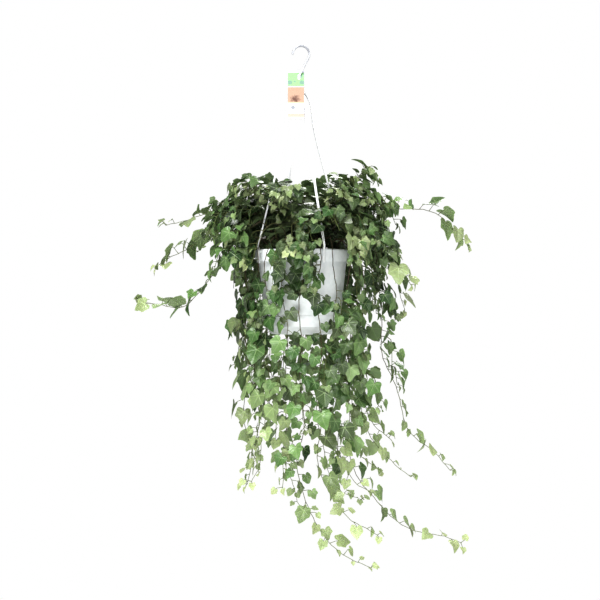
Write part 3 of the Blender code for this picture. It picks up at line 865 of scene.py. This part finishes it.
def trailingRoute(azimuth, out, drop, turnDrop, swing, heading):
    base, crest = rootSize["trailBase"], rootSize["trailCrest"]
    hang = potSize["rimRadius"] + out
    route = [
        around(azimuth, base, rootHeight(base)), around(azimuth, base + 0.006, crest * 0.55),
        around(azimuth, potSize["rimRadius"] - 0.001, crest), around(azimuth, hang - 0.003, -0.006),
    ]
    count = max(1, round(drop / 0.075))
    for i in range(1, count + 1):
        phase = azimuth * 0.11 + i * 1.9
        sway = Vector((math.cos(phase), math.sin(phase * 0.7), 0)) * rootSize["sway"] * min(1, i / 2)
        route.append(around(azimuth, hang, -drop * i / count) + sway)
    end = route[-1]
    toward = Vector((math.cos(math.radians(heading)), math.sin(math.radians(heading)), 0))
    for angle in (25, 50, 75):
        bend, full = math.radians(angle), math.radians(75)
        aside = toward * swing * (1 - math.cos(bend)) / (1 - math.cos(full))
        route.append(end + aside - Vector((0, 0, turnDrop * math.sin(bend) / math.sin(full))))
    return route


# Leaf shape: rays from where the petiole meets the blade, their length as a share of the midrib.
# A lobed leaf and a nearly heart-shaped one are mixed for each leaf.
leafRays = (0, 8, 16, 25, 35, 43, 50, 57, 64, 73, 84, 95, 105, 114, 124, 137, 152, 170)
lobedLeaf = (
    1.00, 0.88, 0.74, 0.61, 0.54, 0.58, 0.67, 0.75, 0.70, 0.59, 0.50, 0.48, 0.52, 0.54, 0.50, 0.40,
    0.27, 0.08,
)
heartLeaf = (
    1.00, 0.93, 0.86, 0.79, 0.73, 0.70, 0.69, 0.68, 0.65, 0.61, 0.57, 0.55, 0.55, 0.54, 0.50, 0.43,
    0.31, 0.09,
)
leafRings = (0.38, 0.72, 1.0)
veinAngles = (0, 57, 114)

ivy = {
    "seed": 11,
    "leafLength": 0.0275,  # of a grown leaf, from the petiole to the tip
    "leafVariation": 0.26,
    "tipLeafLength": 0.012,
    "leafThickness": 0.00035,
    "lobes": (0.05, 0.70),  # least and most of the lobed shape
    "petiole": (0.010, 0.026),
    "petioleRadius": 0.00050,
    "internode": (0.013, 0.027),
    "stemRadius": (0.0009, 0.0005),  # at the root and at the tip
    "stemAge": (1.0, 0.15),
    "stemRoom": 0.0013,  # radius kept free of other vines' leaves
    "branchRoom": 0.0014,
    "zigzag": 0.0007,
    "wander": 0.0045,  # how far a stem strays to either side
    "youngShare": 0.11,  # leaves that stay small between the grown ones
    # where the vines have lost leaves: from and to across, from and to above the rim, share kept
    "bare": (
        (-0.100, -0.010, 0.016, 0.066, 0.05), (0.010, 0.085, 0.000, 0.036, 0.05),
        (0.046, 0.085, 0.036, 0.056, 0.10),
        (-0.100, -0.056, -0.080, 0.016, 0.12), (0.026, 0.085, -0.095, 0.000, 0.07),
        (-0.035, 0.036, -0.162, -0.098, 0.08), (0.000, 0.050, 0.075, 0.150, 0.0),
    ),
    # where they stand closest, as above, with the share of the usual spacing
    "lush": ((-0.056, 0.036, -0.098, 0.020, 0.38), (0.036, 0.090, -0.165, -0.095, 0.6)),
    "vigour": (0.72, 1.12),  # how large a hanging vine's leaves grow, and how far apart
    "leafTurns": (30, 60, 5, 90, -20, 120),  # ways for a leaf to stand, tried in this order
    "turnSpread": 14,
    "jitter": (0.34, 0.34, 0.30),
    "heart": 0.02,  # the middle of the mound, above the rim
    "leastAge": 0.42,  # of a leaf in the mound
    "moundEdge": 0.16,  # from the pot's axis
    "openFrom": (0.20, 0.06),  # below the rim, or past the mound's edge
    "bareDepth": -0.06,  # the bare and lush areas only reach this far back
    "lushDepth": -0.03,
    "elbowRoom": 0.040,
    "shadeReach": (0.080, 0.200, 0.340),  # from the middle of the mound: darkest, lit, palest; where the leaves' painted shade gives way to their painted sheen
    "boxMargin": 0.006,  # how far a leaf may pass the solids' box
}

# How each kind of vine carries its leaves and its short branches. The pairs under spacing and size
# are for the mound and for the open, and window is the stretch of the stem that branches.
habits = {
    "crown": {
        "first": 0.014, "spacing": (0.45, 0.60), "size": (0.72, 0.8), "tipAge": 0.15, "tender": 0.09,
        "branches": 11, "branchLength": (0.045, 0.090), "window": (0.35, 0.97), "sag": 0.25,
        "branchAge": 0.60,  # the leaves are palest at the top
    },
    "side": {
        "first": 0.014, "spacing": (0.60, 0.75), "size": (0.75, 1.0), "tipAge": 0.12, "tender": 0.07,
        "branches": 9, "branchLength": (0.045, 0.085), "window": (0.26, 0.82), "sag": 0.40,
        "branchAge": 0.80,
        "branched": 0.170,  # metres; the long shoots branch only where they leave the mound
    },
    "trailing": {
        "first": 0.020, "spacing": (0.80, 1.12), "size": (0.75, 0.90), "tipAge": 0.10, "tender": 0.17,
        "branches": 4, "branchLength": (0.035, 0.060), "window": (0.12, 0.65), "sag": 0.8,
        "branchAge": 0.80,
    },
    "branch": {
        "first": 0.010, "spacing": (0.62, 0.90), "size": (0.70, 0.85), "tender": 0.035,
        "radii": (0.0008, 0.0005), "ages": (0.6, 0.1),
    },
}

ivyLook = {
    # grown tones, darkest to palest: the darkest stand for shade inside the mound as painted shade, the
    # palest for gloss and backlight far out as a painted sheen; shade-grown ivy is also darker in life
    "shadeGreen": "#11240d",
    "deepGreen": "#284c21",
    "midGreen": "#5f8048",
    "paleGreen": "#9cae84",
    "freshGreen": "#a9b387",
    "vein": "#a3b989",
    "freshVein": "#bccb93",
    "under": "#80946a",
    "roughness": 0.31,
    "veinWidth": (0.034, 0.008),  # at the petiole and at the edge, in leaf lengths
    "sideVeins": (0.075, 0.016, 0.34),  # half their spacing, half their width, how strong they show
    "net": (13.0, 0.09, 0.12),  # meshes to the leaf length, width of a thread, how strong it shows
    "veinShare": 0.62,
    "underShare": 0.60,
    "cloud": 95.0,  # clouds to the metre, each about 10 mm
    "glow": 0.14,  # light that comes through the blade
    "bark": 700.0,  # cracks to the metre
    "stemGreen": "#5f6e3a",
    "stemBrown": "#443628",
}


def makeLeafMaterial():
    # Ivy leaf: a thin blade with a waxy skin. The wax gives a broad soft gloss, the veins are paler
    # and a little sunken, and light from behind comes through.
    material, tree, shader = newMaterial("ivyLeafWaxy")
    blade = addNode(tree, "UVMap", uv_map="leafShape")
    axes = addNode(tree, "SeparateXYZ", {"Vector": blade})
    forward = axes.outputs["X"]
    aside = addNode(tree, "Math", {0: axes.outputs["Y"]}, operation="ABSOLUTE")
    facts = addNode(tree, "Attribute", attribute_name="leafFacts")
    fact = addNode(tree, "SeparateColor", {"Color": facts})
    tone, age, under = fact.outputs["Red"], fact.outputs["Green"], fact.outputs["Blue"]
    mirrored = addNode(tree, "CombineXYZ", {"X": forward, "Y": aside})
    veins = None
    atPetiole, atEdge = ivyLook["veinWidth"]
    for degrees in veinAngles:
        ahead = Vector((math.cos(math.radians(degrees)), math.sin(math.radians(degrees)), 0))
        along = addNode(tree, "VectorMath", {0: mirrored, 1: ahead}, operation="DOT_PRODUCT")
        off = addNode(
            tree, "VectorMath", {0: mirrored, 1: Vector((-ahead.y, ahead.x, 0))}, operation="DOT_PRODUCT",
        )
        apart = addNode(tree, "Math", {0: off}, operation="ABSOLUTE")
        # about 1 mm wide at the petiole, running out towards the edge
        width = addNode(
            tree, "MapRange", {"Value": along, "From Max": 0.95, "To Min": atPetiole, "To Max": atEdge},
        )
        line = addNode(
            tree, "MapRange",
            {"Value": apart, "From Max": width, "To Min": 1.0, "To Max": 0.0},
            interpolation_type="SMOOTHSTEP",
        )
        ray = addNode(tree, "Math", {0: along, 1: 0.0}, operation="GREATER_THAN")
        shown = addNode(tree, "Math", {0: line, 1: ray}, operation="MULTIPLY")
        if veins is None:
            veins = shown
        else:
            veins = addNode(tree, "Math", {0: veins, 1: shown}, operation="MAXIMUM")
    # side veins every 4 mm, and between them the fine net
    spacing, veinHalf, strength = ivyLook["sideVeins"]
    slant = addNode(tree, "Math", {0: aside, 1: -0.85, 2: forward}, operation="MULTIPLY_ADD")
    between = addNode(tree, "Math", {0: slant, 1: spacing}, operation="PINGPONG")
    sideVein = addNode(
        tree, "MapRange", {"Value": between, "From Max": veinHalf, "To Min": strength, "To Max": 0.0},
    )
    meshes, thread, strength = ivyLook["net"]
    net = addNode(tree, "TexVoronoi", {"Vector": blade, "Scale": meshes}, feature="DISTANCE_TO_EDGE")
    netLine = addNode(
        tree, "MapRange", {"Value": net, "From Max": thread, "To Min": strength, "To Max": 0.0},
    )
    fineVeins = addNode(tree, "Math", {0: sideVein, 1: netLine}, operation="MAXIMUM")
    allVeins = addNode(tree, "Math", {0: veins, 1: fineVeins}, operation="MAXIMUM")
    # colour: fresh leaves are yellow-green, grown ones from mid to deep green; the grown tone also carries
    # painted shade, darker in the mound's middle, and a painted sheen, paler far out
    grown = addNode(
        tree, "ValToRGB", {"Fac": tone},
        stops=(
            (0.0, ivyLook["shadeGreen"]), (1.0, ivyLook["paleGreen"]), (0.25, ivyLook["deepGreen"]),
            (0.65, ivyLook["midGreen"]),
        ),
    )
    green = addNode(tree, "Mix", {0: age, 6: linear(ivyLook["freshGreen"]), 7: grown}, data_type="RGBA")
    place = addNode(tree, "TexCoord").outputs["Object"]
    cloud = addNode(
        tree, "TexNoise", {"Vector": place, "Scale": ivyLook["cloud"], "Detail": 4.0, "Roughness": 0.6},
    )
    cloudy = addNode(
        tree, "MapRange",
        {"Value": cloud, "From Min": 0.3, "From Max": 0.7,
         "To Min": 0.84, "To Max": 1.16},
    )
    mottled = addNode(tree, "HueSaturation", {"Color": green, "Value": cloudy})
    veinColour = addNode(
        tree, "Mix",
        {0: age, 6: linear(ivyLook["freshVein"]), 7: linear(ivyLook["vein"])}, data_type="RGBA",
    )
    veinShare = addNode(tree, "Math", {0: allVeins, 1: ivyLook["veinShare"]}, operation="MULTIPLY")
    veined = addNode(tree, "Mix", {0: veinShare, 6: mottled, 7: veinColour}, data_type="RGBA")
    underShare = addNode(tree, "Math", {0: under, 1: ivyLook["underShare"]}, operation="MULTIPLY")
    colour = addNode(
        tree, "Mix", {0: underShare, 6: veined, 7: linear(ivyLook["under"])}, data_type="RGBA",
    )
    rough = addNode(
        tree, "MapRange",
        {"Value": under, "To Min": ivyLook["roughness"], "To Max": ivyLook["roughness"] + 0.25},
    )
    bump = addNode(tree, "Bump", {"Height": allVeins, "Strength": 0.5, "Distance": 0.0004}, invert=True)
    fillInputs(tree, shader, {
        "Base Color": colour, "Roughness": rough, "Normal": bump, "IOR": 1.48,
        "Subsurface Weight": ivyLook["glow"], "Subsurface Radius": (0.6, 1.0, 0.25),
        "Subsurface Scale": 0.0006,
    })
    return material


def makeStemMaterial():
    # Ivy stem: brown bark with fine length-ways cracks where it is old, smooth and green at the tip.
    material, tree, shader = newMaterial("ivyStemBark")
    facts = addNode(tree, "Attribute", attribute_name="leafFacts")
    fact = addNode(tree, "SeparateColor", {"Color": facts})
    place = addNode(tree, "TexCoord").outputs["Object"]
    bark = addNode(tree, "TexNoise", {"Vector": place, "Scale": ivyLook["bark"], "Detail": 4.0})
    tint = addNode(
        tree, "Mix",
        {0: fact.outputs["Green"], 6: linear(ivyLook["stemGreen"]), 7: linear(ivyLook["stemBrown"])},
        data_type="RGBA",
    )
    dark = addNode(
        tree, "MapRange", {"Value": bark, "From Min": 0.3, "From Max": 0.7, "To Min": 0.75, "To Max": 1.2},
    )
    colour = addNode(tree, "HueSaturation", {"Color": tint, "Value": dark})
    bump = addNode(tree, "Bump", {"Height": bark, "Strength": 0.5, "Distance": 0.0002})
    fillInputs(tree, shader, {"Base Color": colour, "Normal": bump, "Roughness": 0.55, "IOR": 1.45})
    return material


def leafTopology():
    # faces of the closed blade: the top, then the underside, which shares the edge's points
    rays = len(leafRays) * 2 - 1
    rings = len(leafRings)
    topCount = 1 + rays * rings

    def spot(side, ring, ray):
        if side == 0 or ring == rings:
            return 0 if ring == 0 else 1 + (ring - 1) * rays + ray % rays
        return topCount + (0 if ring == 0 else 1 + (ring - 1) * rays + ray % rays)

    faces = []
    for side in (0, 1):
        for ray in range(rays):
            patch = [(spot(side, 0, 0), spot(side, 1, ray), spot(side, 1, ray + 1))]
            for ring in range(1, rings):
                patch.append((
                    spot(side, ring, ray), spot(side, ring + 1, ray),
                    spot(side, ring + 1, ray + 1), spot(side, ring, ray + 1),
                ))
            faces += [tuple(reversed(f)) if side else f for f in patch]
    return faces, len(faces) // 2


leafFaces, leafTopFaces = leafTopology()
rayAngles = np.radians([-a for a in reversed(leafRays[1:])] + list(leafRays))


def leafBlade(dice, length, lobes):
    # the blade's points in its own frame: the midrib along +X, its face up +Z; and its flat shape
    both = np.array([*reversed(lobedLeaf[1:]), *lobedLeaf]) * lobes
    both += np.array([*reversed(heartLeaf[1:]), *heartLeaf]) * (1 - lobes)
    both *= 1 + np.array([dice.uniform(-0.035, 0.035) for i in range(len(both))])
    lean = dice.uniform(-0.05, 0.05)
    flat = [(0.0, 0.0)]
    share = [0.0]
    turn = [0.0]
    for ring in leafRings:
        for angle, reach in zip(rayAngles, both):
            flat.append((math.cos(angle) * reach * ring, math.sin(angle) * reach * ring))
            share.append(ring)
            turn.append(angle)
    flat, share, turn = np.array(flat), np.array(share), np.array(turn)
    x, y = flat[:, 0], flat[:, 1] * (1 + lean * np.sign(flat[:, 1]))
    fold, cup = dice.uniform(0.05, 0.38), dice.uniform(0.05, 0.30)
    droop, wave = dice.uniform(0.02, 0.30), dice.uniform(0.01, 0.05)
    phase, twist = dice.uniform(0, math.tau), dice.uniform(-0.5, 0.5)
    z = fold * (np.sqrt(y**2 + 0.0012) - 0.035) - cup * (x**2 + y**2) * 0.6
    z -= droop * np.maximum(x, 0) ** 2
    z += wave * np.sin(turn * 3 + phase) * share**2
    z += 0.022 * np.abs(np.sin(turn * 180 / veinAngles[1])) * np.sin(share * math.pi)
    spin = twist * x
    y, z = y * np.cos(spin) - z * np.sin(spin), y * np.sin(spin) + z * np.cos(spin)
    top = np.stack((x, y, z), 1) * length
    inner = len(top) - len(rayAngles)
    below = top[:inner] - np.array((0, 0, ivy["leafThickness"]))
    return np.concatenate((top, below)), np.concatenate((flat, flat[:inner]))


def newGrowth():
    return {"points": [], "faces": [], "shape": [], "facts": [], "bark": []}


def addLeaf(growth, points, flat, tone, age):
    start = len(growth["points"])
    growth["points"] += points.tolist()
    for i, face in enumerate(leafFaces):
        growth["faces"].append(tuple(start + k for k in face))
        side = 0.0 if i < leafTopFaces else 1.0
        growth["shape"] += [tuple(flat[k]) for k in face]
        growth["facts"] += [(tone, age, side, 1.0)] * len(face)
        growth["bark"].append(0)


def addTube(growth, path, radii, sides, ages, tone):
    start = len(growth["points"])
    points, faces = sweptTube(path, radii, sides)
    growth["points"] += [tuple(p) for p in points]
    for face in faces:
        growth["faces"].append(tuple(start + k for k in face))
        for k in face:
            growth["shape"].append(((k % sides) / sides, k // sides / len(path)))
            growth["facts"].append((tone, ages[k // sides], 0.0, 1.0))
        growth["bark"].append(1)


def finishVine(name, growth, materials, replaced):
    mesh = bpy.data.meshes.new(name)
    mesh.from_pydata(growth["points"], [], growth["faces"])
    uvs = mesh.uv_layers.new(name="leafShape")
    uvs.data.foreach_set("uv", np.array(growth["shape"], np.float32).ravel())
    facts = mesh.attributes.new("leafFacts", "FLOAT_COLOR", "CORNER")
    facts.data.foreach_set("color", np.array(growth["facts"], np.float32).ravel())
    mesh.polygons.foreach_set("material_index", growth["bark"])
    shadeEdges(mesh, 80)
    mesh.validate()
    addPiece(name, mesh, materials, replaced)


def treeOf(points, faces):
    return BVHTree.FromPolygons([Vector(p) for p in points], faces)


def meshTree(mesh):
    return treeOf([v.co for v in mesh.vertices], [tuple(f.vertices) for f in mesh.polygons])


def vineRoutes():
    quarter = 360 / hangerSize["strapCount"]
    tiers = [
        ("crown_shoot_{}", "crownShoot{}", crownShoots, crownRoute),
        ("side_shoot_{:02d}", "sideShoot{:02d}", sideShoots, sideRoute),
        ("trailing_vine_{:02d}", "trailingVine{:02d}", trailingVines, trailingRoute),
    ]
    for solid, piece, rows, route in tiers:
        perQuarter = len(rows) / hangerSize["strapCount"]
        for i, row in enumerate(rows):
            azimuth = hangerSize["strapStart"] + quarter * (i + 0.5) / perQuarter
            yield solid.format(i + 1), piece.format(i + 1), route(azimuth, *row)


def pathLengths(path):
    travelled = [0.0]
    for start, end in zip(path, path[1:]):
        travelled.append(travelled[-1] + (end - start).length)
    return travelled


def placeOn(path, travelled, wanted):
    for i in range(1, len(path)):
        if travelled[i] >= wanted or i == len(path) - 1:
            share = (wanted - travelled[i - 1]) / max(1e-9, travelled[i] - travelled[i - 1])
            ahead = (path[i] - path[i - 1]).normalized()
            return path[i - 1].lerp(path[i], min(1.0, share)), ahead


hardParts = ("pot", "saucer", "soil", "hanger", "care_label")
obstacles = [meshTree(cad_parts[name].data) for name in hardParts]
stemTrees = {}
standing = {}  # (middle, tree) of each leaf that has been placed, by the cell of space it is in


def leafTestTree(points):
    # every third point of the edge is enough to tell whether two leaves cross
    edge = 1 + len(rayAngles) * (len(leafRings) - 1)
    ring = [points[0]] + [points[edge + ray] for ray in range(0, len(rayAngles), 3)]
    faces = [(0, i, i + 1) for i in range(1, len(ring) - 1)]
    return treeOf(ring, faces)


def insideBox(points):
    margin = ivy["boxMargin"]
    low, high = np.array(cadLow) - margin, np.array(cadHigh) + margin
    return (points > low).all() and (points < high).all()


def cellOf(place):
    return tuple(math.floor(value / ivy["elbowRoom"]) for value in place)


def leafClashes(tree, middle, ownStem):
    if any(tree.overlap(other) for other in obstacles):
        return None
    count = 0
    for name, other in stemTrees.items():
        if name != ownStem and tree.overlap(other):
            count += 1
    cx, cy, cz = cellOf(middle)
    near = (-1, 0, 1)
    for cell in [(cx + i, cy + j, cz + k) for i in near for j in near for k in near]:
        for spot, other in standing.get(cell, ()):
            if (spot - middle).length < ivy["elbowRoom"] and tree.overlap(other):
                count += 1
    return count


# the lumps stand a little above the plain soil that the leaves are first tested against
lumpTree = meshTree(bpy.data.objects["peatSoil"].data)


def hitsHardPart(points, faces):
    tree = treeOf(points, faces)
    return any(tree.overlap(other) for other in obstacles + [lumpTree])


def growLeaf(growth, dice, stemName, place, stem, side, length, age):
    # tries a few ways for a leaf to stand and keeps the one that touches the fewest others; leaves
    # face the light from above in the mound, and outwards where the stem hangs
    outward = Vector((place.x - axisX, place.y, 0))
    outward = outward.normalized() if outward.length > 0.01 else Vector((0, -1, 0))
    outward = Matrix.Rotation(dice.gauss(0, 0.5), 3, "Z") @ outward
    up = Vector((0, 0, 1))
    hangs = min(1.0, max(0.0, -stem.z * 1.3))
    light = (outward * (0.45 + 0.55 * hangs) + up * (0.95 - 0.55 * hangs)).normalized()
    across = stem.cross(light)
    across = across.normalized() if across.length > 0.05 else stem.orthogonal().normalized()
    out = across.cross(stem).normalized()
    if out.dot(light) < 0:
        out = -out
    lobes = dice.uniform(*ivy["lobes"]) * (0.6 + 0.4 * age)
    points, flat = leafBlade(dice, length, lobes)
    reach = dice.uniform(*ivy["petiole"]) * (length / ivy["leafLength"]) ** 0.5
    best = None
    for degrees in ivy["leafTurns"]:
        turn = math.radians(degrees + dice.uniform(-ivy["turnSpread"], ivy["turnSpread"]))
        leave = across * side * math.cos(turn) + out * math.sin(turn) + stem * 0.35
        leave.normalize()
        jitter = Vector([dice.gauss(0, spread) for spread in ivy["jitter"]])
        facing = (light + out * 0.25 + jitter).normalized()
        along = leave * 0.75 - up * (0.25 + 0.75 * hangs) + outward * 0.15 + jitter.cross(facing)
        along = (along - facing * along.dot(facing)).normalized()
        joint = place + leave * reach - up * 0.0015
        turned = Matrix((along, facing.cross(along), facing)).transposed()
        world = points @ np.array(turned).T + np.array(joint)
        if not insideBox(world):
            continue
        tree = leafTestTree(world)
        middle = joint + along * length * 0.4
        clashes = leafClashes(tree, middle, stemName)
        if clashes is None:
            continue
        if best is None or clashes < best[0]:
            best = (clashes, world, joint, along, leave, tree, middle)
        if clashes == 0:
            break
    if best is None:
        return
    clashes, world, joint, along, leave, tree, middle = best
    if not isKept(dice, middle):
        return
    standing.setdefault(cellOf(middle), []).append((middle, tree))
    # painted shade and painted sheen: a leaf is coloured darker the nearer it stands to the mound's
    # middle, where the canopy shades it, and paler far out, standing in for gloss and backlight;
    # shade-grown ivy is also darker green in life
    heart = Vector((axisX, 0, rimZ + ivy["heart"]))
    least, most, far = ivy["shadeReach"]
    away = (middle - heart).length
    openness = min(1.0, max(0.0, (away - least) / (most - least)))
    paintedSheen = min(1.0, max(0.0, (away - most) / (far - most)))
    tone = dice.random() ** 1.35 * (0.10 + 0.58 * openness) + 0.27 * paintedSheen * dice.random()
    # the petiole leaves the stem outwards and bends into the blade
    bendTo = joint - along * reach * 0.35
    petiole = []
    for i in range(5):
        t = i / 4
        petiole.append(
            place * (1 - t) ** 3 + (place + leave * reach * 0.5) * 3 * t * (1 - t) ** 2
            + bendTo * 3 * t**2 * (1 - t) + joint * t**3
        )
    thick = ivy["petioleRadius"]
    radii = [thick * 1.5, thick * 1.1, thick, thick, thick * 0.8]
    # a leaf that would pass through the pot, the soil or a strap isn't grown
    if hitsHardPart(world, leafFaces) or hitsHardPart(*sweptTube(petiole, [thick * 2] * 5, 5)):
        return
    addLeaf(growth, world, flat, tone, age)
    addTube(growth, petiole, radii, 5, [age * 0.45] * 5, 0.5)


def growStem(growth, dice, path, radii, ages):
    # both from the root to the tip
    last = len(path) - 1
    thick = [radii[0] + (radii[1] - radii[0]) * i / last for i in range(last + 1)]
    old = [ages[0] + (ages[1] - ages[0]) * (i / last) ** 1.5 for i in range(last + 1)]
    addTube(growth, path, thick, 7, old, dice.random())


def shareAt(place, areas, depth):
    # the share that goes with the first area that the place is in, or None
    across, height = place.x - axisX, place.z - rimZ
    for left, right, low, high, share in areas:
        if place.y < depth and left < across < right and low < height < high:
            return share


def isKept(dice, place):
    # thins the leaves in front of the pot, where the stems hang bare
    kept = shareAt(place, ivy["bare"], ivy["bareDepth"])
    return kept is None or dice.random() < kept


def growLeavesAlong(growth, dice, name, path, habit, tipAge, vigour=1.0):
    spacing = [share * vigour for share in habit["spacing"]]
    size = [share * vigour for share in habit["size"]]
    tender = habit["tender"]  # the length behind the tip on which leaves are still young
    travelled = pathLengths(path)
    total = travelled[-1]
    wanted = habit["first"]
    side = dice.choice((-1, 1))
    while wanted < total:
        place, stem = placeOn(path, travelled, wanted)
        left = total - wanted
        # 0 in the mound, 1 in the open
        outside = math.hypot(place.x - axisX, place.y) - ivy["moundEdge"]
        below, past = ivy["openFrom"]
        apart = min(1.0, max(0.0, (rimZ - place.z) / below, outside / past))
        grown = min(1.0, 0.45 + left / tender)
        age = min(1.0, tipAge + left / tender / 1.8) * dice.uniform(0.85, 1.0)
        age = max(age, ivy["leastAge"] * (1 - apart))
        spread = min(1.35, max(0.6, dice.gauss(1, ivy["leafVariation"])))
        length = ivy["leafLength"] * (size[0] + (size[1] - size[0]) * apart) * grown * spread
        if dice.random() < ivy["youngShare"]:
            length *= dice.uniform(0.45, 0.7)
            age *= 1.0 - 0.45 * apart
        growLeaf(growth, dice, name, place, stem, side, length, age)
        side = -side
        room = spacing[0] + (spacing[1] - spacing[0]) * apart
        closer = shareAt(place, ivy["lush"], ivy["lushDepth"]) or 1.0
        wanted += dice.uniform(*ivy["internode"]) * room * closer
    # the growing point: two small leaves not yet spread
    place, stem = path[-1], (path[-1] - path[-2]).normalized()
    for side in (-1, 1):
        growLeaf(growth, dice, name, place, stem, side, ivy["tipLeafLength"], tipAge * 0.85)


def sideBranches(dice, path, habit):
    # short shoots that fill out the mound
    travelled = pathLengths(path)
    total = travelled[-1]
    low, high = habit["window"]
    high = min(high, habit.get("branched", total) / total)
    up = Vector((0, 0, 1))
    count = habit["branches"]
    for i in range(count):
        share = low + (high - low) * (i + dice.uniform(0.1, 0.9)) / count
        place, stem = placeOn(path, travelled, total * share)
        across = stem.cross(up)
        across = across.normalized() if across.length > 0.1 else stem.orthogonal().normalized()
        if i % 2:
            across = -across
        heading = (across * dice.uniform(0.7, 1.1) + stem * dice.uniform(0.4, 0.9)
                   + up * dice.uniform(-0.2, 0.45)).normalized()
        length = dice.uniform(*habit["branchLength"])
        drop = habit["sag"] * dice.uniform(0.6, 1.3)
        middle = place + heading * length * 0.50 + up * 0.006
        end = place + heading * length * (1 - drop * 0.45) - up * length * drop
        yield smoothPath([place, middle, end], 0.010)


def makeVines(leafMaterial, stemMaterial):
    dice = random.Random(ivy["seed"])
    routes = []
    for solid, piece, route in vineRoutes():
        path = smoothPath(route, 0.012)
        starts = [dice.uniform(0, math.tau) for i in range(3)]
        for i in range(2, len(path) - 1):
            ahead = (path[i + 1] - path[i - 1]).normalized()
            aside = ahead.orthogonal().normalized() * ivy["zigzag"] * (1 if i % 2 else -1)
            wave = Vector([math.sin(i * 0.47 + start) for start in starts])
            stray = ivy["wander"] * min(1.0, i / 10, (len(path) - 1 - i) / 4)
            path[i] = path[i] + aside + wave * stray
        routes.append((solid, piece, path))
        coarse = path[::3] + [path[-1]]
        stemTrees[solid] = treeOf(*sweptTube(coarse, [ivy["stemRoom"]] * len(coarse), 4))
    leaves = 0
    for solid, piece, path in routes:
        growth = newGrowth()
        growStem(growth, dice, path, ivy["stemRadius"], ivy["stemAge"])
        vigour = dice.uniform(*ivy["vigour"])
        kind = solid.split("_")[0]
        habit, short = habits[kind], habits["branch"]
        scale = vigour if kind == "trailing" else 1.0
        growLeavesAlong(growth, dice, solid, path, habit, habit["tipAge"], scale)
        for branch in sideBranches(dice, path, habit):
            if not isKept(dice, branch[len(branch) // 2]):
                continue
            # a branch that would cross a strap grows into a growth that is thrown away, so that the
            # others keep their places
            blocked = hitsHardPart(*sweptTube(branch, [ivy["branchRoom"]] * len(branch), 5))
            twig = newGrowth() if blocked else growth
            growStem(twig, dice, branch, short["radii"], short["ages"])
            growLeavesAlong(twig, dice, solid, branch, short, habit["branchAge"])
        finishVine(piece, growth, [leafMaterial, stemMaterial], solid)
        leaves += growth["bark"].count(0) // len(leafFaces)
    print("ivy grown:", len(routes), "vines,", leaves, "leaves")


makeVines(makeLeafMaterial(), makeStemMaterial())
